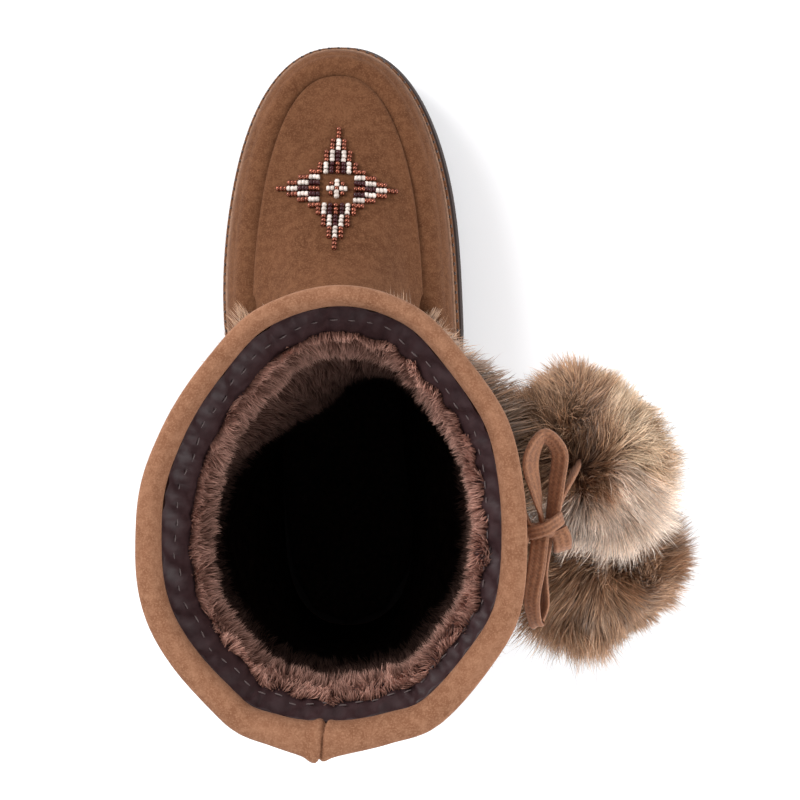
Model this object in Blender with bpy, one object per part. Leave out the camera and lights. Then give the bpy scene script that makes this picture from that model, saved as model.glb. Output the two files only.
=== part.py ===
"""Mukluk boot, right foot: suede moccasin on a rubber sole, fur-wrapped shaft, laced cuff with pompoms.

Metres, +Z up, +Y to the toe, +X to the outer side of the foot.
The origin lies on the floor in the middle of the heel tread.
"""

import math

import bmesh
import bpy
import numpy as np
from mathutils import Vector

MM = 0.001
GAP = 0.3

# Depths below the upper's outer form, in mm: under plug, fur and cuff, its inner face, the plug's top.
# The wall leans outwards under the cuff's roll, where both faces lie less deep.
COLUMNS = 36
RECESS = 3.4
WALL_INNER = 6.4
COLLAR_RECESS = 1.9
COLLAR_INNER = 4.7
PLUG_TOP = 1.7
RAND_THICKNESS = 2.0

SOLE_FRONT = 228.3
SOLE_BACK = -38.0
SOLE_HALF = (52.7, 41.5, 38.5)
FLAT_HEEL = (-30.0, 32.0)
FLAT_TREAD = (94.0, 176.0)
ARCH_RISE = 5.0
TOE_SPRING = 10.0
HEEL_BEVEL = 1.5
TREAD_DEPTH = 2.8
TREAD_GROOVE = 3.4
HEEL_GROOVES = (-22.0, -8.0, 8.0, 22.0)
FOREFOOT_GROOVES = (101.0, 115.0, 129.0, 143.0, 157.0, 171.0)
# share of the sole's height, mm outside its outline, from the floor up
SOLE_PROFILE = (
    (0.00, -2.4),
    (0.06, -0.9),
    (0.15, -0.2),
    (0.48, 0.0),
    (0.51, -1.0),
    (0.60, -1.0),
    (0.63, 0.0),
    (0.90, -0.1),
    (1.00, -1.2),
)
INSOLE_SECTION = ((2 * GAP, WALL_INNER + 1.2), (3.2, WALL_INNER + 0.9), (4.2, WALL_INNER + 1.8))

# Length of the upper and its half widths at ball, waist and heel, which space the columns
FOOT_MEASURES = (258.0, 49.0, 39.0, 35.0)
FRONT_CAP = 0.45
FRONT_POWER = 2.3
BACK_CAP = 0.17
BACK_POWER = 2.2

CUFF_ROW = 12.27
LACE_ROWS = (12.06, 12.21)
FUR_TOP_ROW = 11.98
FUR_SLACK = 0.6
FUR_LOCK_ROWS = 7
FUR_FRONT_THIN = 0.4
# share of the lock's height, thickness between locks, further thickness at its middle
FUR_LOCK = ((0.03, 1.4, 0.0), (0.55, 5.6, 1.6), (1.0, 6.2, 3.2))
# place round the shaft, share of the usual thickness: full at the outer front, flat behind the upper pompom
FUR_FULLNESS = (
    (0.00, 1.00),
    (0.09, 1.20),
    (0.135, 1.55),
    (0.17, 1.10),
    (0.20, 0.70),
    (0.25, 0.60),
    (0.29, 0.75),
    (0.33, 1.00),
    (0.37, 1.35),
    (0.42, 1.10),
    (0.50, 1.00),
    (1.00, 1.00),
)
WALL_TOP_ROW = 13.76
RECESS_ROWS = (3.5, 4.2, 5, 5.7, 6.3, 6.9, 7.5, 8.1, 8.7, 9.8, 11)
FUR_INNER_ROWS = (4.2, 5.7, 6.9, 7.5, 8.1, 8.7, 9.8, 11)
INNER_ROWS = (12.5, 11, 9.8, 8.9, 8.1, 7.4, 6.5, 5.3, 4, 3, 2.2, 1, 0)
PLUG_ROWS = (3.0, 7.9)
PLUG_EDGE_U = 0.222
BACK_SEAM_U = 0.5035
BACK_SEAM_RIDGE = 3.3
BACK_SEAM_SPREAD = 0.018
BACK_SEAM_COLUMNS = (0.4625, 0.4875, 0.5035, 0.5125, 0.5375)
# The cuff's roll over the collar: mm outward from the collar ring and mm above it, at the back seam
CUFF_ROLL = ((0.0, 1.8), (-1.8, 3.6), (-4.6, 4.3), (-7.4, 3.0), (-9.1, 0.0), (-8.8, -5.2))
CUFF_LIP = ((-5.2, -5.2), (-5.2, -3.9), (-1.3, -3.9))
ROLL_WIDTH = 9.1
ROLL_NARROWING = 0.30
# The satin facing slopes down from the roll into the collar: row, mm inside the roll's inner edge
FACING_FACE = ((13.75, 0.4), (13.62, 4.1), (13.31, 7.5))
# Back of the facing, beside the wall: row, mm outside the form
FACING_FOOT = ((13.22, -5.9), (13.69, -5.3))

LACE_WIDTH = 6.5
LACE_THICK = 1.7

# Outer form of the upper, one row for each ring from the feather line to the collar, in mm.
# front_y, back_y, half width at ball, waist, heel, share of leg oval, z at heel, waist, ball, tread, toe
RINGS = {
    "feather": (222.5, -33.5, 49.0, 38.0, 34.5, 0.00, 25.0, 23.5, 18.5, 18.5, 26.0),
    "bulge": (224.4, -35.0, 49.6, 39.5, 35.8, 0.00, 36.0, 34.0, 29.0, 29.0, 36.0),
    "shoulder": (222.2, -35.5, 47.4, 39.8, 36.5, 0.00, 50.0, 48.0, 44.0, 42.5, 45.5),
    "wall_top": (212.3, -35.0, 37.6, 38.0, 36.5, 0.00, 66.0, 66.0, 58.0, 53.5, 51.5),
    "vamp_1": (194.0, -34.5, 35.0, 37.0, 36.5, 0.05, 76.0, 76.0, 66.0, 57.5, 55.5),
    "vamp_2": (167.0, -34.0, 33.5, 37.0, 36.5, 0.15, 85.0, 86.0, 77.0, 65.0, 61.5),
    "vamp_3": (143.0, -33.7, 34.0, 37.5, 37.0, 0.35, 95.0, 96.0, 89.0, 77.0, 71.0),
    "instep": (122.5, -33.5, 35.5, 39.0, 38.5, 0.60, 106.0, 107.0, 102.0, 93.0, 87.0),
    "ankle": (110.0, -33.5, 39.0, 42.0, 41.5, 0.85, 123.0, 124.0, 121.0, 114.0, 110.0),
    "shaft_1": (103.0, -34.0, 49.5, 49.5, 49.5, 1.00, 147.0, 147.0, 146.0, 143.0, 140.0),
    "shaft_2": (101.0, -34.8, 55.0, 55.0, 55.0, 1.00, 175.0, 175.0, 175.0, 175.0, 174.0),
    "shaft_3": (101.2, -35.6, 57.5, 57.5, 57.5, 1.00, 203.0, 203.0, 203.0, 203.0, 203.0),
    "shaft_4": (103.2, -36.6, 58.6, 58.6, 58.6, 1.00, 230.0, 230.0, 230.0, 230.0, 230.0),
    "cuff": (106.0, -38.0, 60.2, 60.2, 60.2, 1.00, 256.0, 256.0, 256.0, 256.0, 256.0),
    "collar": (108.2, -39.3, 61.8, 61.8, 61.8, 1.00, 281.0, 281.0, 281.0, 281.0, 281.0),
}
Z_KNOTS = (0.0, 0.30, 0.55, 0.78, 1.0)
CENTRE_KNOTS = (0.0, 0.34, 0.55, 0.8, 1.0)
# Middle of the foot and of its sole across the boot; the upper leans a little over the sole's inner edge
CENTRE_X = (0.0, 1.4, -3.4, -4.0, -4.1)
SOLE_CENTRE_X = (0.0, 2.2, -1.9, -2.4, -2.9)

# Outline of the collar seen from above, clockwise from the toe side, in mm.
LEG_OUTLINE = (
    (0.9, 108.2),
    (20.3, 105.0),
    (36.2, 93.9),
    (56.4, 65.0),
    (62.6, 33.2),
    (58.7, -0.2),
    (36.8, -29.1),
    (19.2, -37.0),
    (-1.4, -39.6),
    (-18.4, -37.0),
    (-35.0, -29.1),
    (-57.0, -0.2),
    (-60.9, 33.2),
    (-52.5, 64.1),
    (-33.1, 91.7),
    (-17.2, 103.6),
)
LEG_CENTRE_X = 0.9

KNOT = (71.8, 28.5, 236.0)
KNOT_RADII = (4.8, 3.4, 4.6)
LEAD_SPREAD = 13.0
# centre, radii, lean of x with y, length of a lock, directions in which the fur is pressed flat
POMPOMS = {
    "pompom_upper": (
        (92.5, 51.5, 190.0),
        (23.5, 29.5, 25.5),
        -0.22,
        7.5,
        ((-1.0, 0.0, 0.0), (0.13, -0.78, -0.61)),
    ),
    "pompom_lower": (
        (99.5, 7.5, 151.0),
        (25.5, 25.5, 24.0),
        0.15,
        7.0,
        ((-0.95, 0.2, 0.2), (-0.13, 0.78, 0.61)),
    ),
}
LOCK_PRESS = 0.78

COLOURS = {
    "suede": (0.21, 0.105, 0.062, 0.9),
    "cuff_suede": (0.42, 0.22, 0.12, 0.9),
    "rubber": (0.045, 0.028, 0.024, 0.8),
    "board": (0.35, 0.25, 0.17, 0.8),
    "satin": (0.05, 0.032, 0.036, 0.45),
    "fur": (0.16, 0.10, 0.065, 0.95),
    "lace": (0.30, 0.15, 0.085, 0.85),
}


for old in list(bpy.data.objects):
    bpy.data.objects.remove(old, do_unlink=True)

boot = bpy.data.collections.new("mukluk_boot")
bpy.context.scene.collection.children.link(boot)
cutters = bpy.data.collections.new("cutters")
bpy.context.scene.collection.children.link(cutters)
cutters.hide_render = True


def material(name):
    mat = bpy.data.materials.get(name)
    if mat is None:
        mat = bpy.data.materials.new(name)
        mat.use_nodes = True
        red, green, blue, rough = COLOURS[name]
        shader = mat.node_tree.nodes["Principled BSDF"]
        shader.inputs["Base Color"].default_value = (red, green, blue, 1.0)
        shader.inputs["Roughness"].default_value = rough
        mat.diffuse_color = (red, green, blue, 1.0)
    return mat


def smooth(t):
    t = np.clip(t, 0.0, 1.0)
    return t * t * (3.0 - 2.0 * t)


def spline(knots, values, at):
    """Cubic through the knots, for values of any number of columns."""
    knots = np.asarray(knots, float)
    values = np.asarray(values, float)
    at = np.clip(np.asarray(at, float), knots[0], knots[-1])
    step = np.diff(knots)
    shape = (-1,) + (1,) * (values.ndim - 1)
    slope = np.diff(values, axis=0) / step.reshape(shape)
    tangent = np.empty_like(values)
    tangent[0] = slope[0]
    tangent[-1] = slope[-1]
    before = step[:-1].reshape(shape)
    after = step[1:].reshape(shape)
    tangent[1:-1] = (slope[:-1] * after + slope[1:] * before) / (before + after)
    k = np.clip(np.searchsorted(knots, at, side="right") - 1, 0, len(step) - 1)
    t = (at - knots[k]) / step[k]
    h = step[k]
    extra = (...,) + (None,) * (values.ndim - 1)
    t = t[extra]
    h = h[extra]
    return (
        values[k] * (2 * t**3 - 3 * t**2 + 1)
        + tangent[k] * h * (t**3 - 2 * t**2 + t)
        + values[k + 1] * (3 * t**2 - 2 * t**3)
        + tangent[k + 1] * h * (t**3 - t**2)
    )


def half_widths(along, ball, waist, heel):
    to_waist = smooth((along - 0.08) / 0.22)
    to_ball = smooth((along - 0.25) / 0.30)
    return heel * (1 - to_waist) + waist * to_waist * (1 - to_ball) + ball * to_ball


def foot_table():
    """Share of the length and of the half width along one side, by even steps of arc."""
    a = np.linspace(0, math.pi / 2, 400)
    front = np.stack(
        [1 - FRONT_CAP + FRONT_CAP * np.cos(a) ** (2 / FRONT_POWER), np.sin(a) ** (2 / FRONT_POWER)], 1
    )
    side = np.stack([np.linspace(1 - FRONT_CAP, BACK_CAP, 200)[1:-1], np.ones(198)], 1)
    back = np.stack(
        [BACK_CAP - BACK_CAP * np.sin(a) ** (2 / BACK_POWER), np.cos(a) ** (2 / BACK_POWER)], 1
    )
    table = np.concatenate([front, side, back])
    wide = half_widths(table[:, 0], *FOOT_MEASURES[1:]) * table[:, 1]
    run = np.hypot(np.diff(wide), np.diff(table[:, 0]) * FOOT_MEASURES[0])
    arc = np.concatenate([[0], np.cumsum(run)])
    even = np.linspace(0, 1, 1001)
    return np.stack([np.interp(even, arc / arc[-1], table[:, k]) for k in (0, 1)], 1)


def leg_table():
    """The collar outline as shares of its half width and length, by even steps of arc on each side."""
    points = np.array(LEG_OUTLINE, float)
    count = len(points)
    looped = np.concatenate([points[-3:], points, points[:4]])
    dense = spline(np.arange(len(looped)) - 3, looped, np.linspace(0, count, 2001))
    back = int(np.argmin(dense[:, 1]))
    halves = []
    for piece in (dense[: back + 1], dense[back:]):
        run = np.linalg.norm(np.diff(piece, axis=0), axis=1)
        arc = np.concatenate([[0], np.cumsum(run)])
        even = np.linspace(0, 1, 501)
        halves.append(np.stack([np.interp(even, arc / arc[-1], piece[:, k]) for k in (0, 1)], 1))
    whole = np.concatenate([halves[0], halves[1][1:]])
    half = (points[:, 0].max() - points[:, 0].min()) / 2
    low = points[:, 1].min()
    long = points[:, 1].max() - low
    return np.stack([(whole[:, 0] - LEG_CENTRE_X) / half, (whole[:, 1] - low) / long], 1)


FOOT = foot_table()
LEG = leg_table()
RING_ROWS = np.array(list(RINGS.values()), float)


def foot_shares(u):
    u = np.mod(u, 1.0)
    side = np.where(u <= 0.5, 1.0, -1.0)
    t = 2 * np.minimum(u, 1 - u)
    even = np.linspace(0, 1, 1001)
    return np.interp(t, even, FOOT[:, 0]), side * np.interp(t, even, FOOT[:, 1])


def leg_shares(u):
    u = np.mod(u, 1.0)
    even = np.linspace(0, 1, 1001)
    return np.interp(u, even, LEG[:, 0]), np.interp(u, even, LEG[:, 1])


def form(u, v):
    """Points of the upper's outer form: u runs round from the toe, v up through the rings."""
    u, v = np.broadcast_arrays(np.asarray(u, float), np.asarray(v, float))
    row = spline(np.arange(len(RING_ROWS)), RING_ROWS, v)
    front, back, ball, waist, heel, leg = (row[..., k] for k in range(6))
    along, across = foot_shares(u)
    leg_x, leg_y = leg_shares(u)
    centre = spline(CENTRE_KNOTS, CENTRE_X, along)
    foot_x = centre + half_widths(along, ball, waist, heel) * across
    x = (1 - leg) * foot_x + leg * (LEG_CENTRE_X + ball * leg_x)
    share = (1 - leg) * along + leg * leg_y
    y = back + (front - back) * share
    cards = spline(Z_KNOTS, np.eye(5), share)
    z = (cards * row[..., 6:11]).sum(-1)
    return np.stack([x, y, z], -1)


def outward(u, v):
    du = form(u + 0.004, v) - form(u - 0.004, v)
    top = len(RING_ROWS) - 1
    dv = form(u, np.minimum(v + 0.03, top)) - form(u, np.maximum(v - 0.03, 0))
    n = np.cross(dv, du)
    return n / np.linalg.norm(n, axis=-1, keepdims=True)


def skin(u, v, d):
    """Points at distance d outside the upper's form."""
    u, v, d = np.broadcast_arrays(np.asarray(u, float), np.asarray(v, float), np.asarray(d, float))
    return form(u, v) + outward(u, v) * d[..., None]


def rim(u, d, rise):
    """Points beside the collar ring: d outward and level, rise up."""
    top = len(RING_ROWS) - 1
    n = outward(u, np.full_like(u, top))
    n[..., 2] = 0
    n /= np.linalg.norm(n, axis=-1, keepdims=True)
    p = form(u, np.full_like(u, top)) + n * np.asarray(d, float)[..., None]
    p[..., 2] += rise
    return p


def around(count=COLUMNS):
    return np.arange(count) / count


def finish_body(name, verts, faces, mat):
    mesh = bpy.data.meshes.new(name)
    mesh.from_pydata([tuple(p) for p in np.asarray(verts) * MM], [], [tuple(f) for f in faces])
    bm = bmesh.new()
    bm.from_mesh(mesh)
    bmesh.ops.recalc_face_normals(bm, faces=bm.faces)
    bmesh.ops.triangulate(bm, faces=bm.faces)
    bm.to_mesh(mesh)
    bm.free()
    ob = bpy.data.objects.new(name, mesh)
    boot.objects.link(ob)
    mesh.materials.append(material(mat))
    return ob


def ring_body(name, loops, mat):
    """A closed band: the loops run once round its cross-section."""
    loops = np.asarray(loops)
    rows, cols = loops.shape[:2]
    faces = []
    for r in range(rows):
        for c in range(cols):
            a = r * cols + c
            b = r * cols + (c + 1) % cols
            up = ((r + 1) % rows) * cols
            faces.append((a, b, up + (c + 1) % cols, up + c))
    return finish_body(name, loops.reshape(-1, 3), faces, mat)


def disc_body(name, loops, mat):
    """A closed slab: rings from the bottom up, each end closed by strips across."""
    loops = np.asarray(loops)
    rows, cols = loops.shape[:2]
    faces = []
    for r in range(rows - 1):
        for c in range(cols):
            a = r * cols + c
            b = r * cols + (c + 1) % cols
            faces.append((a, b, b + cols, a + cols))
    for base in (0, (rows - 1) * cols):
        half = cols // 2
        faces.append((base, base + 1, base + cols - 1))
        for c in range(1, half - 1):
            faces.append((base + c, base + c + 1, base + cols - c - 1, base + cols - c))
        faces.append((base + half - 1, base + half, base + half + 1))
    return finish_body(name, loops.reshape(-1, 3), faces, mat)


def patch_body(name, top, bottom, mat):
    """A closed plate between two grids of the same size."""
    rows, cols = top.shape[:2]
    count = rows * cols
    faces = []
    for r in range(rows - 1):
        for c in range(cols - 1):
            a = r * cols + c
            faces.append((a, a + 1, a + 1 + cols, a + cols))
            faces.append((a + count, a + cols + count, a + 1 + cols + count, a + 1 + count))
    edge = list(range(cols))
    edge += [r * cols + cols - 1 for r in range(1, rows)]
    edge += [(rows - 1) * cols + c for c in range(cols - 2, -1, -1)]
    edge += [r * cols for r in range(rows - 2, 0, -1)]
    for k, a in enumerate(edge):
        b = edge[(k + 1) % len(edge)]
        faces.append((a, b, b + count, a + count))
    verts = np.concatenate([top.reshape(-1, 3), bottom.reshape(-1, 3)])
    return finish_body(name, verts, faces, mat)


# Sole unit


def sole_outline(u, grow=0.0):
    along, across = foot_shares(u)
    ball, waist, heel = SOLE_HALF
    centre = spline(CENTRE_KNOTS, SOLE_CENTRE_X, along)
    x = centre + (half_widths(along, ball, waist, heel) + grow) * across
    y = SOLE_BACK - grow + (SOLE_FRONT - SOLE_BACK + 2 * grow) * along
    return x, y


def tread_z(y):
    """Height of the underside over the floor."""
    arch = (y - FLAT_HEEL[1]) / (FLAT_TREAD[0] - FLAT_HEEL[1])
    rise = ARCH_RISE * np.where((arch > 0) & (arch < 1), np.sin(math.pi * np.clip(arch, 0, 1)) ** 1.2, 0)
    toe = np.clip((y - FLAT_TREAD[1]) / (SOLE_FRONT - FLAT_TREAD[1]), 0, 1)
    heel = np.clip((FLAT_HEEL[0] - y) / (FLAT_HEEL[0] - SOLE_BACK), 0, 1)
    return rise + TOE_SPRING * toe**1.7 + HEEL_BEVEL * heel


def feather_z(y):
    """Height of the sole's top surface."""
    feather = RING_ROWS[0]
    share = np.clip((y - feather[1]) / (feather[0] - feather[1]), 0, 1)
    return (spline(Z_KNOTS, np.eye(5), share) * feather[6:11]).sum(-1) - GAP


def make_outsole():
    u = around(44)
    loops = []
    for share, grow in SOLE_PROFILE:
        x, y = sole_outline(u, grow)
        low = tread_z(y)
        high = feather_z(y)
        loops.append(np.stack([x, y, low + (high - low) * share], -1))
    body = disc_body("outsole", loops, "rubber")
    cut_tread(body)
    return body


def groove(verts, faces, y, reach, bend, teeth):
    """Adds a zigzag bar that cuts one tread groove."""
    xs = np.linspace(-reach, reach, teeth * 2 + 1)
    lift = np.array([bend if k % 2 else -bend for k in range(len(xs))])
    base = len(verts)
    for x, dy in zip(xs, lift):
        for side in (-0.5, 0.5):
            for z in (-4.0, TREAD_DEPTH):
                verts.append((x, y + dy + side * TREAD_GROOVE, z))
    for k in range(len(xs) - 1):
        a = base + 4 * k
        b = a + 4
        faces.append((a, a + 1, b + 1, b))
        faces.append((a + 2, b + 2, b + 3, a + 3))
        faces.append((a + 1, a + 3, b + 3, b + 1))
        faces.append((a, b, b + 2, a + 2))
    a = base
    faces.append((a, a + 2, a + 3, a + 1))
    b = base + 4 * (len(xs) - 1)
    faces.append((b, b + 1, b + 3, b + 2))


def cut_tread(body):
    verts = []
    faces = []
    for y in HEEL_GROOVES:
        groove(verts, faces, y, 46.0, 2.2, 3)
    for y in FOREFOOT_GROOVES:
        groove(verts, faces, y, 62.0, 3.0, 3)
    mesh = bpy.data.meshes.new("tread_grooves")
    mesh.from_pydata([tuple(c * MM for c in p) for p in verts], [], faces)
    bm = bmesh.new()
    bm.from_mesh(mesh)
    bmesh.ops.recalc_face_normals(bm, faces=bm.faces)
    bm.to_mesh(mesh)
    bm.free()
    tool = bpy.data.objects.new("tread_grooves", mesh)
    cutters.objects.link(tool)
    tool.hide_render = True
    tool.display_type = "WIRE"
    mod = body.modifiers.new("tread", "BOOLEAN")
    mod.operation = "DIFFERENCE"
    mod.solver = "EXACT"
    mod.object = tool


def make_insole():
    u = around(28)
    feather = RING_ROWS[0]
    loops = []
    for rise, inset in INSOLE_SECTION:
        along, across = foot_shares(u)
        centre = spline(CENTRE_KNOTS, CENTRE_X, along)
        x = centre + (half_widths(along, *feather[2:5]) - inset) * across
        y = feather[1] + inset + (feather[0] - feather[1] - 2 * inset) * along
        loops.append(np.stack([x, y, feather_z(y) + rise], -1))
    return disc_body("insole", loops, "board")


# Upper, and the pieces cut from its own form


def make_upper():
    u = around()
    outer = [(v, 0.0) for v in (0, 0.5, 1, 1.5, 2, 2.4, 2.75)]
    outer += [(2.93, -0.3), (2.99, -RECESS)]
    outer += [(v, -RECESS) for v in RECESS_ROWS + (12.4,)]
    outer += [(13, -COLLAR_RECESS), (WALL_TOP_ROW, -COLLAR_RECESS)]
    inner = [(WALL_TOP_ROW, -COLLAR_INNER)] + [(v, -WALL_INNER) for v in INNER_ROWS]
    loops = [skin(u, v, d) for v, d in outer + inner]
    return ring_body("upper", loops, "suede")


def make_rand():
    u = around()
    near = GAP
    far = GAP + RAND_THICKNESS
    section = ((0.09, far), (0.5, far), (0.86, far), (0.95, far - 0.7), (0.95, near), (0.5, near), (0.09, near))
    return ring_body("rand", [skin(u, v, d) for v, d in section], "suede")


def plug_border(u):
    """Row where the plug meets the fur, for each u; it falls to the wall's edge at the sides."""
    u = np.mod(np.asarray(u, float) + 0.5, 1.0) - 0.5
    low, high = PLUG_ROWS
    t = np.clip(np.abs(u) / PLUG_EDGE_U, 0, 1)
    return low + (high - low) * (1 - t**2.4)


def make_plug():
    step = 1 / COLUMNS
    reach = PLUG_EDGE_U - 0.022
    inside = np.arange(-int(reach / step), int(reach / step) + 1) * step
    u = np.concatenate([[-reach], inside, [reach]])
    low = PLUG_ROWS[0] + 0.07
    high = plug_border(u) - 0.06
    rows = np.array((low,) + tuple(r for r in RECESS_ROWS if r < PLUG_ROWS[1] - 0.2) + (PLUG_ROWS[1] - 0.06,))
    share = ((rows - low) / (rows[-1] - low))[:, None]
    v = low + (high - low)[None, :] * share
    top = skin(u[None, :], v, -PLUG_TOP)
    bottom = skin(u[None, :], v, -RECESS + GAP + 0.7 * smooth((v - 3.4) / 0.8))
    return patch_body("vamp_plug", top, bottom, "suede")


def fur_border(u):
    return np.maximum(plug_border(u) + 0.08, PLUG_ROWS[0] + 0.14)


def row_at_height(u, share):
    """Row at a share of the way up the fur, by even steps of height, for each u."""
    low = fur_border(u)
    out = np.empty(len(u))
    for k, (here, base, part) in enumerate(zip(u, low, np.broadcast_to(share, u.shape))):
        rows = np.linspace(base, FUR_TOP_ROW, 80)
        points = form(here, rows)
        run = np.concatenate([[0], np.cumsum(np.linalg.norm(np.diff(points, axis=0), axis=1))])
        out[k] = np.interp(part * run[-1], run, rows)
    return out


def make_fur():
    u = around()
    low = fur_border(u)
    odd = np.arange(COLUMNS) % 2
    places, shares = np.array(FUR_FULLNESS).T
    fullness = np.interp(u, places, shares)
    outer = []
    for r in range(FUR_LOCK_ROWS):
        tip = odd if r % 2 else 1 - odd
        start = 1.0 - r / FUR_LOCK_ROWS
        end = start - 1.0 / FUR_LOCK_ROWS
        last = r == FUR_LOCK_ROWS - 1
        sway = 0.9 + 0.35 * np.sin(u * 2 * math.pi * 5 + r * 2.1)
        drop = 0.36 / FUR_LOCK_ROWS * (0.3 if last else 1.0)
        for share, base, lift in FUR_LOCK:
            t = start + (end - start) * share
            if share == 1.0:
                t = t - drop * sway * tip + drop * 0.4 * (1 - tip)
            elif share < 0.1 and r > 0:
                t = t + drop * 0.4 * tip - drop * sway * (1 - tip)
            t = np.clip(t, 0.0, 1.0) + np.zeros(COLUMNS)
            thin = 1.0 - FUR_FRONT_THIN * np.exp(-((np.minimum(u, 1 - u) / 0.07) ** 2))
            thick = (base + lift * tip * sway) * thin * fullness
            outer.append(skin(u, row_at_height(u, t), thick))
    inner = []
    slack = FUR_SLACK * (0.5 + smooth((0.2 - np.minimum(u, 1 - u)) / 0.1))
    for row in (PLUG_ROWS[0] + 0.14,) + FUR_INNER_ROWS + (FUR_TOP_ROW,):
        t = (row - PLUG_ROWS[0] - 0.14) / (FUR_TOP_ROW - PLUG_ROWS[0] - 0.14)
        inner.append(skin(u, low + (FUR_TOP_ROW - low) * t, -RECESS + GAP + slack))
    return ring_body("fur_wrap", outer + inner, "fur")


def ridge(u):
    """The seam at the back of the cuff stands out to a soft point."""
    return BACK_SEAM_RIDGE * np.exp(-np.abs(u - BACK_SEAM_U) / BACK_SEAM_SPREAD)


def roll_share(u):
    """Width of the roll as a share of its width at the back; it is narrowest over the instep."""
    return 1.0 - ROLL_NARROWING * (1.0 - smooth(2 * np.minimum(u, 1 - u)))


def make_cuff():
    u = np.unique(np.concatenate([around(), BACK_SEAM_COLUMNS]))
    u = np.delete(u, np.argmin(np.abs(u - 0.5)))
    out = ridge(u)
    loops = [skin(u, v, d + out) for v, d in ((CUFF_ROW, 0.0), (13.0, 0.4), (13.9, 0.4))]
    for d, rise in CUFF_ROLL:
        loops.append(rim(u, d * roll_share(u) + out * (1 if d > -2 else 0), rise))
    for d, rise in CUFF_LIP:
        loops.append(rim(u, np.full_like(u, d), rise))
    loops.append(skin(u, 13.0, -COLLAR_RECESS + 1.5 * GAP))
    loops.append(skin(u, CUFF_ROW, -RECESS + 1.5 * GAP))
    return ring_body("cuff", loops, "cuff_suede")


def make_facing():
    u = around()
    edge = ROLL_WIDTH * roll_share(u)
    loops = [skin(u, v, -edge - inset) for v, inset in FACING_FACE]
    loops += [skin(u, v, np.full_like(u, d)) for v, d in FACING_FOOT]
    return ring_body("collar_facing", loops, "satin")


def make_lace_band():
    u = around()
    low, high = LACE_ROWS
    inner = -RECESS + 1.5 * GAP
    outer = inner + LACE_THICK
    section = ((low, outer), (high, outer), (high, inner), (low, inner))
    return ring_body("lace_band", [skin(u, v, d) for v, d in section], "lace")


# Bow and pompoms


def path_points(points, count):
    points = np.asarray(points, float)
    return spline(np.arange(len(points)), points, np.linspace(0, len(points) - 1, count))


def ribbon_body(name, points, across, count):
    """A flat lace along a path; across holds one width direction for each control point."""
    path = path_points(points, count)
    wide = path_points(across, count)
    ahead = np.gradient(path, axis=0)
    ahead /= np.linalg.norm(ahead, axis=1, keepdims=True)
    wide -= (wide * ahead).sum(1, keepdims=True) * ahead
    wide /= np.linalg.norm(wide, axis=1, keepdims=True)
    thick = np.cross(ahead, wide)
    corners = ((-0.5, 0.0), (-0.38, -0.5), (0.38, -0.5), (0.5, 0.0), (0.38, 0.5), (-0.38, 0.5))
    rings = [path + wide * LACE_WIDTH * a + thick * LACE_THICK * b for a, b in corners]
    grid = np.stack(rings, 1)
    rows, cols = grid.shape[:2]
    faces = []
    for r in range(rows - 1):
        for c in range(cols):
            a = r * cols + c
            b = r * cols + (c + 1) % cols
            faces.append((a, b, b + cols, a + cols))
    faces.append(tuple(range(cols)))
    faces.append(tuple((rows - 1) * cols + c for c in range(cols - 1, -1, -1)))
    return finish_body(name, grid.reshape(-1, 3), faces, "lace")


def make_knot():
    bm = bmesh.new()
    bmesh.ops.create_uvsphere(bm, u_segments=10, v_segments=6, radius=1.0)
    for vert in bm.verts:
        x, y, z = vert.co
        pinch = 1.0 - 0.16 * math.cos(3 * math.atan2(y, x))
        wide, long, high = KNOT_RADII
        vert.co = Vector((x * wide * pinch, y * long * pinch, z * high))
    verts = [np.array(v.co) + np.array(KNOT) for v in bm.verts]
    faces = [[v.index for v in f.verts] for f in bm.faces]
    bm.free()
    return finish_body("bow_knot", verts, faces, "lace")


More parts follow.
